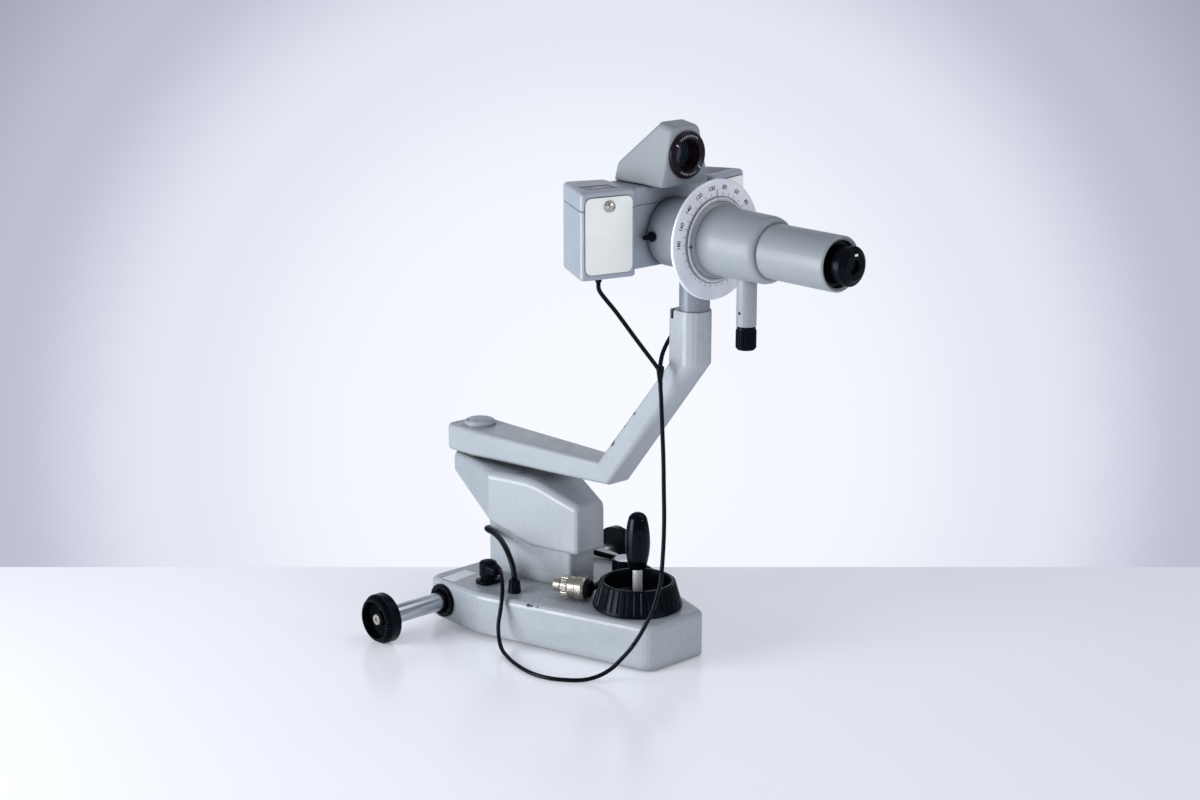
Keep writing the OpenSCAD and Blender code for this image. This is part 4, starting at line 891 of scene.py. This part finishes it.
def make_trim():
    for side, label in ((-1, "left"), (1, "right")):
        face = box_face(side)
        place = face @ Matrix.Translation((0, PLATE_MIDDLE_Z * MM, 0))
        seam = thin_plate(label + "_plate_seam", SEAM_SIZE, place)
        finish_piece(seam, "head", MATERIALS["ink"])
        place = face @ Matrix.Translation((0, SCREW_Z * MM, PLATE_THICKNESS * MM))
        screw = turned(label + "_thumb_screw", SCREW_PROFILE, place, flutes=SCREW_FLUTES)
        finish_piece(screw, "head", MATERIALS["nickel"])

    panel = thin_plate("lid_panel", PANEL_SIZE, on_lid(-1, 0, PANEL_Z))
    finish_piece(panel, "head", MATERIALS["panel_grey"])
    badge = thin_plate("blank_badge", BADGE_SIZE, on_lid(-1, 0, BADGE_Z))
    finish_piece(badge, "head", MATERIALS["disc_white"])

    # Painted shade: a black sheet just under each vent slot of the right lid makes the slot look
    # as dark as the box's shaded inside
    for i in range(VENTS):
        place = on_lid(1, (i - (VENTS - 1) / 2) * VENT_PITCH, VENT_SHADE_Z)
        shade_sheet = thin_plate("vent_shade_sheet_" + str(i + 1), VENT_SHADE_SIZE, place)
        finish_piece(shade_sheet, "head", MATERIALS["ink"])

    place = facing(LABEL_AT, UP, LABEL_ALONG)
    label = thin_plate("blank_label", LABEL_SIZE, place, LABEL_BEND)
    finish_piece(label, "base", MATERIALS["label_white"])


# Stage: glossy pale table, a backdrop that is brightest behind the instrument, and soft light
TABLE_EDGE = 2.571
TABLE_HALF_WIDTH = 8
TABLE_DEPTH = 9
TABLE_WHITE = (0.90, 0.925, 0.985)
TABLE_GLOSS = (3, 2)
TABLE_GLOW = (0.96, 0.975, 1, 1)
TABLE_GLOW_STRENGTH = 0.17

# The backdrop's colours by the angle from its brightest direction, in degrees
BRIGHTEST = (0.6495, 0.7088, -0.2756)
BACKDROP = (
    (25, (0.20, 0.21, 0.25)), (18.6, (0.371, 0.386, 0.479)), (14.7, (0.515, 0.533, 0.651)),
    (10.5, (0.776, 0.807, 0.905)), (5.0, (0.90, 0.93, 0.99)), (0.5, (0.93, 0.955, 1.0)),
)
COS_LOW = 0.9
COS_SPAN = 0.1
WHITE_LIGHT = (1, 1, 1)
COOL_LIGHT = (0.97, 0.99, 1.0)


def make_table():
    look = Vector((CAMERA_LOOK.x, CAMERA_LOOK.y, 0)).normalized()
    side = Vector((look.y, -look.x, 0)) * TABLE_HALF_WIDTH
    near = look * TABLE_DEPTH
    edge = Vector((CAMERA_AT.x, CAMERA_AT.y, 0)) + look * TABLE_EDGE
    corners = (edge + side, edge - side, edge - side - near, edge + side - near)
    table = new_object("floor", corners, [(0, 1, 2, 3)], smooth=False)
    paint = Paint("table", TABLE_WHITE, roughness=0.2, specular=0.4)
    paint.vary_roughness(paint.noise(*TABLE_GLOSS), 0.16, 0.24)
    paint.set("Emission Color", TABLE_GLOW)
    paint.set("Emission Strength", TABLE_GLOW_STRENGTH)
    table.data.materials.append(paint.material)


def make_backdrop():
    """A world coloured by direction, with the half above the horizon mirrored from that below."""
    world = bpy.data.worlds.new("world")
    bpy.context.scene.world = world
    world.use_nodes = True
    nodes, links = world.node_tree.nodes, world.node_tree.links
    direction = nodes.new("ShaderNodeTexCoord")
    parts = nodes.new("ShaderNodeSeparateXYZ")
    height = nodes.new("ShaderNodeMath")
    height.operation = "ABSOLUTE"
    down = nodes.new("ShaderNodeMath")
    down.operation = "MULTIPLY"
    down.inputs[1].default_value = -1
    joined = nodes.new("ShaderNodeCombineXYZ")
    dot = nodes.new("ShaderNodeVectorMath")
    dot.operation = "DOT_PRODUCT"
    dot.inputs[1].default_value = BRIGHTEST
    spread = nodes.new("ShaderNodeMapRange")
    spread.inputs["From Min"].default_value = COS_LOW
    ramp = nodes.new("ShaderNodeValToRGB")
    ramp.color_ramp.interpolation = "EASE"
    stops = ramp.color_ramp.elements
    for i, (degrees, color) in enumerate(BACKDROP):
        position = (math.cos(math.radians(degrees)) - COS_LOW) / COS_SPAN
        stop = stops[i] if i < len(stops) else stops.new(position)
        stop.position = position
        stop.color = (*color, 1)
    background = nodes["Background"]
    background.inputs["Strength"].default_value = 1.0
    for source, target in (
        (direction.outputs["Generated"], parts.inputs[0]),
        (parts.outputs["Z"], height.inputs[0]),
        (height.outputs[0], down.inputs[0]),
        (parts.outputs["X"], joined.inputs["X"]),
        (parts.outputs["Y"], joined.inputs["Y"]),
        (down.outputs[0], joined.inputs["Z"]),
        (joined.outputs[0], dot.inputs[0]),
        (dot.outputs["Value"], spread.inputs["Value"]),
        (spread.outputs["Result"], ramp.inputs["Fac"]),
        (ramp.outputs["Color"], background.inputs["Color"]),
    ):
        links.new(source, target)


def area_light(name, at, towards, size, power, color=WHITE_LIGHT, shiny=True):
    """A square light. One that isn't shiny lights the part but shows in no reflection."""
    data = bpy.data.lights.new(name, "AREA")
    data.size = size
    data.energy = power
    data.color = color
    light = bpy.data.objects.new(name, data)
    bpy.context.collection.objects.link(light)
    light.visible_glossy = shiny
    light.location = at
    aim(light, Vector(towards) - Vector(at))


def make_lights():
    area_light("key", (-1.65, 0.7, 0.4), (0, 0.1, 0.22), size=1.1, power=39, color=COOL_LIGHT)
    area_light("top", (1.0, -0.8, 2.4), (0.2, -0.2, 0.1), size=1.8, power=11)
    area_light("right", (0.6, -2.2, 0.9), (0, 0, 0.35), size=0.8, power=8)
    area_light("fill", (-0.8, -2.1, 0.25), (0, 0, 0.3), size=0.9, power=15, shiny=False)


make_camera()
bpy.context.scene.view_settings.view_transform = "Standard"
dress_nodes()
make_lamp_cord()
make_supply_cable()
make_dial()
make_reading_marks()
make_trim()
make_table()
make_backdrop()
make_lights()

bpy.context.view_layer.update()
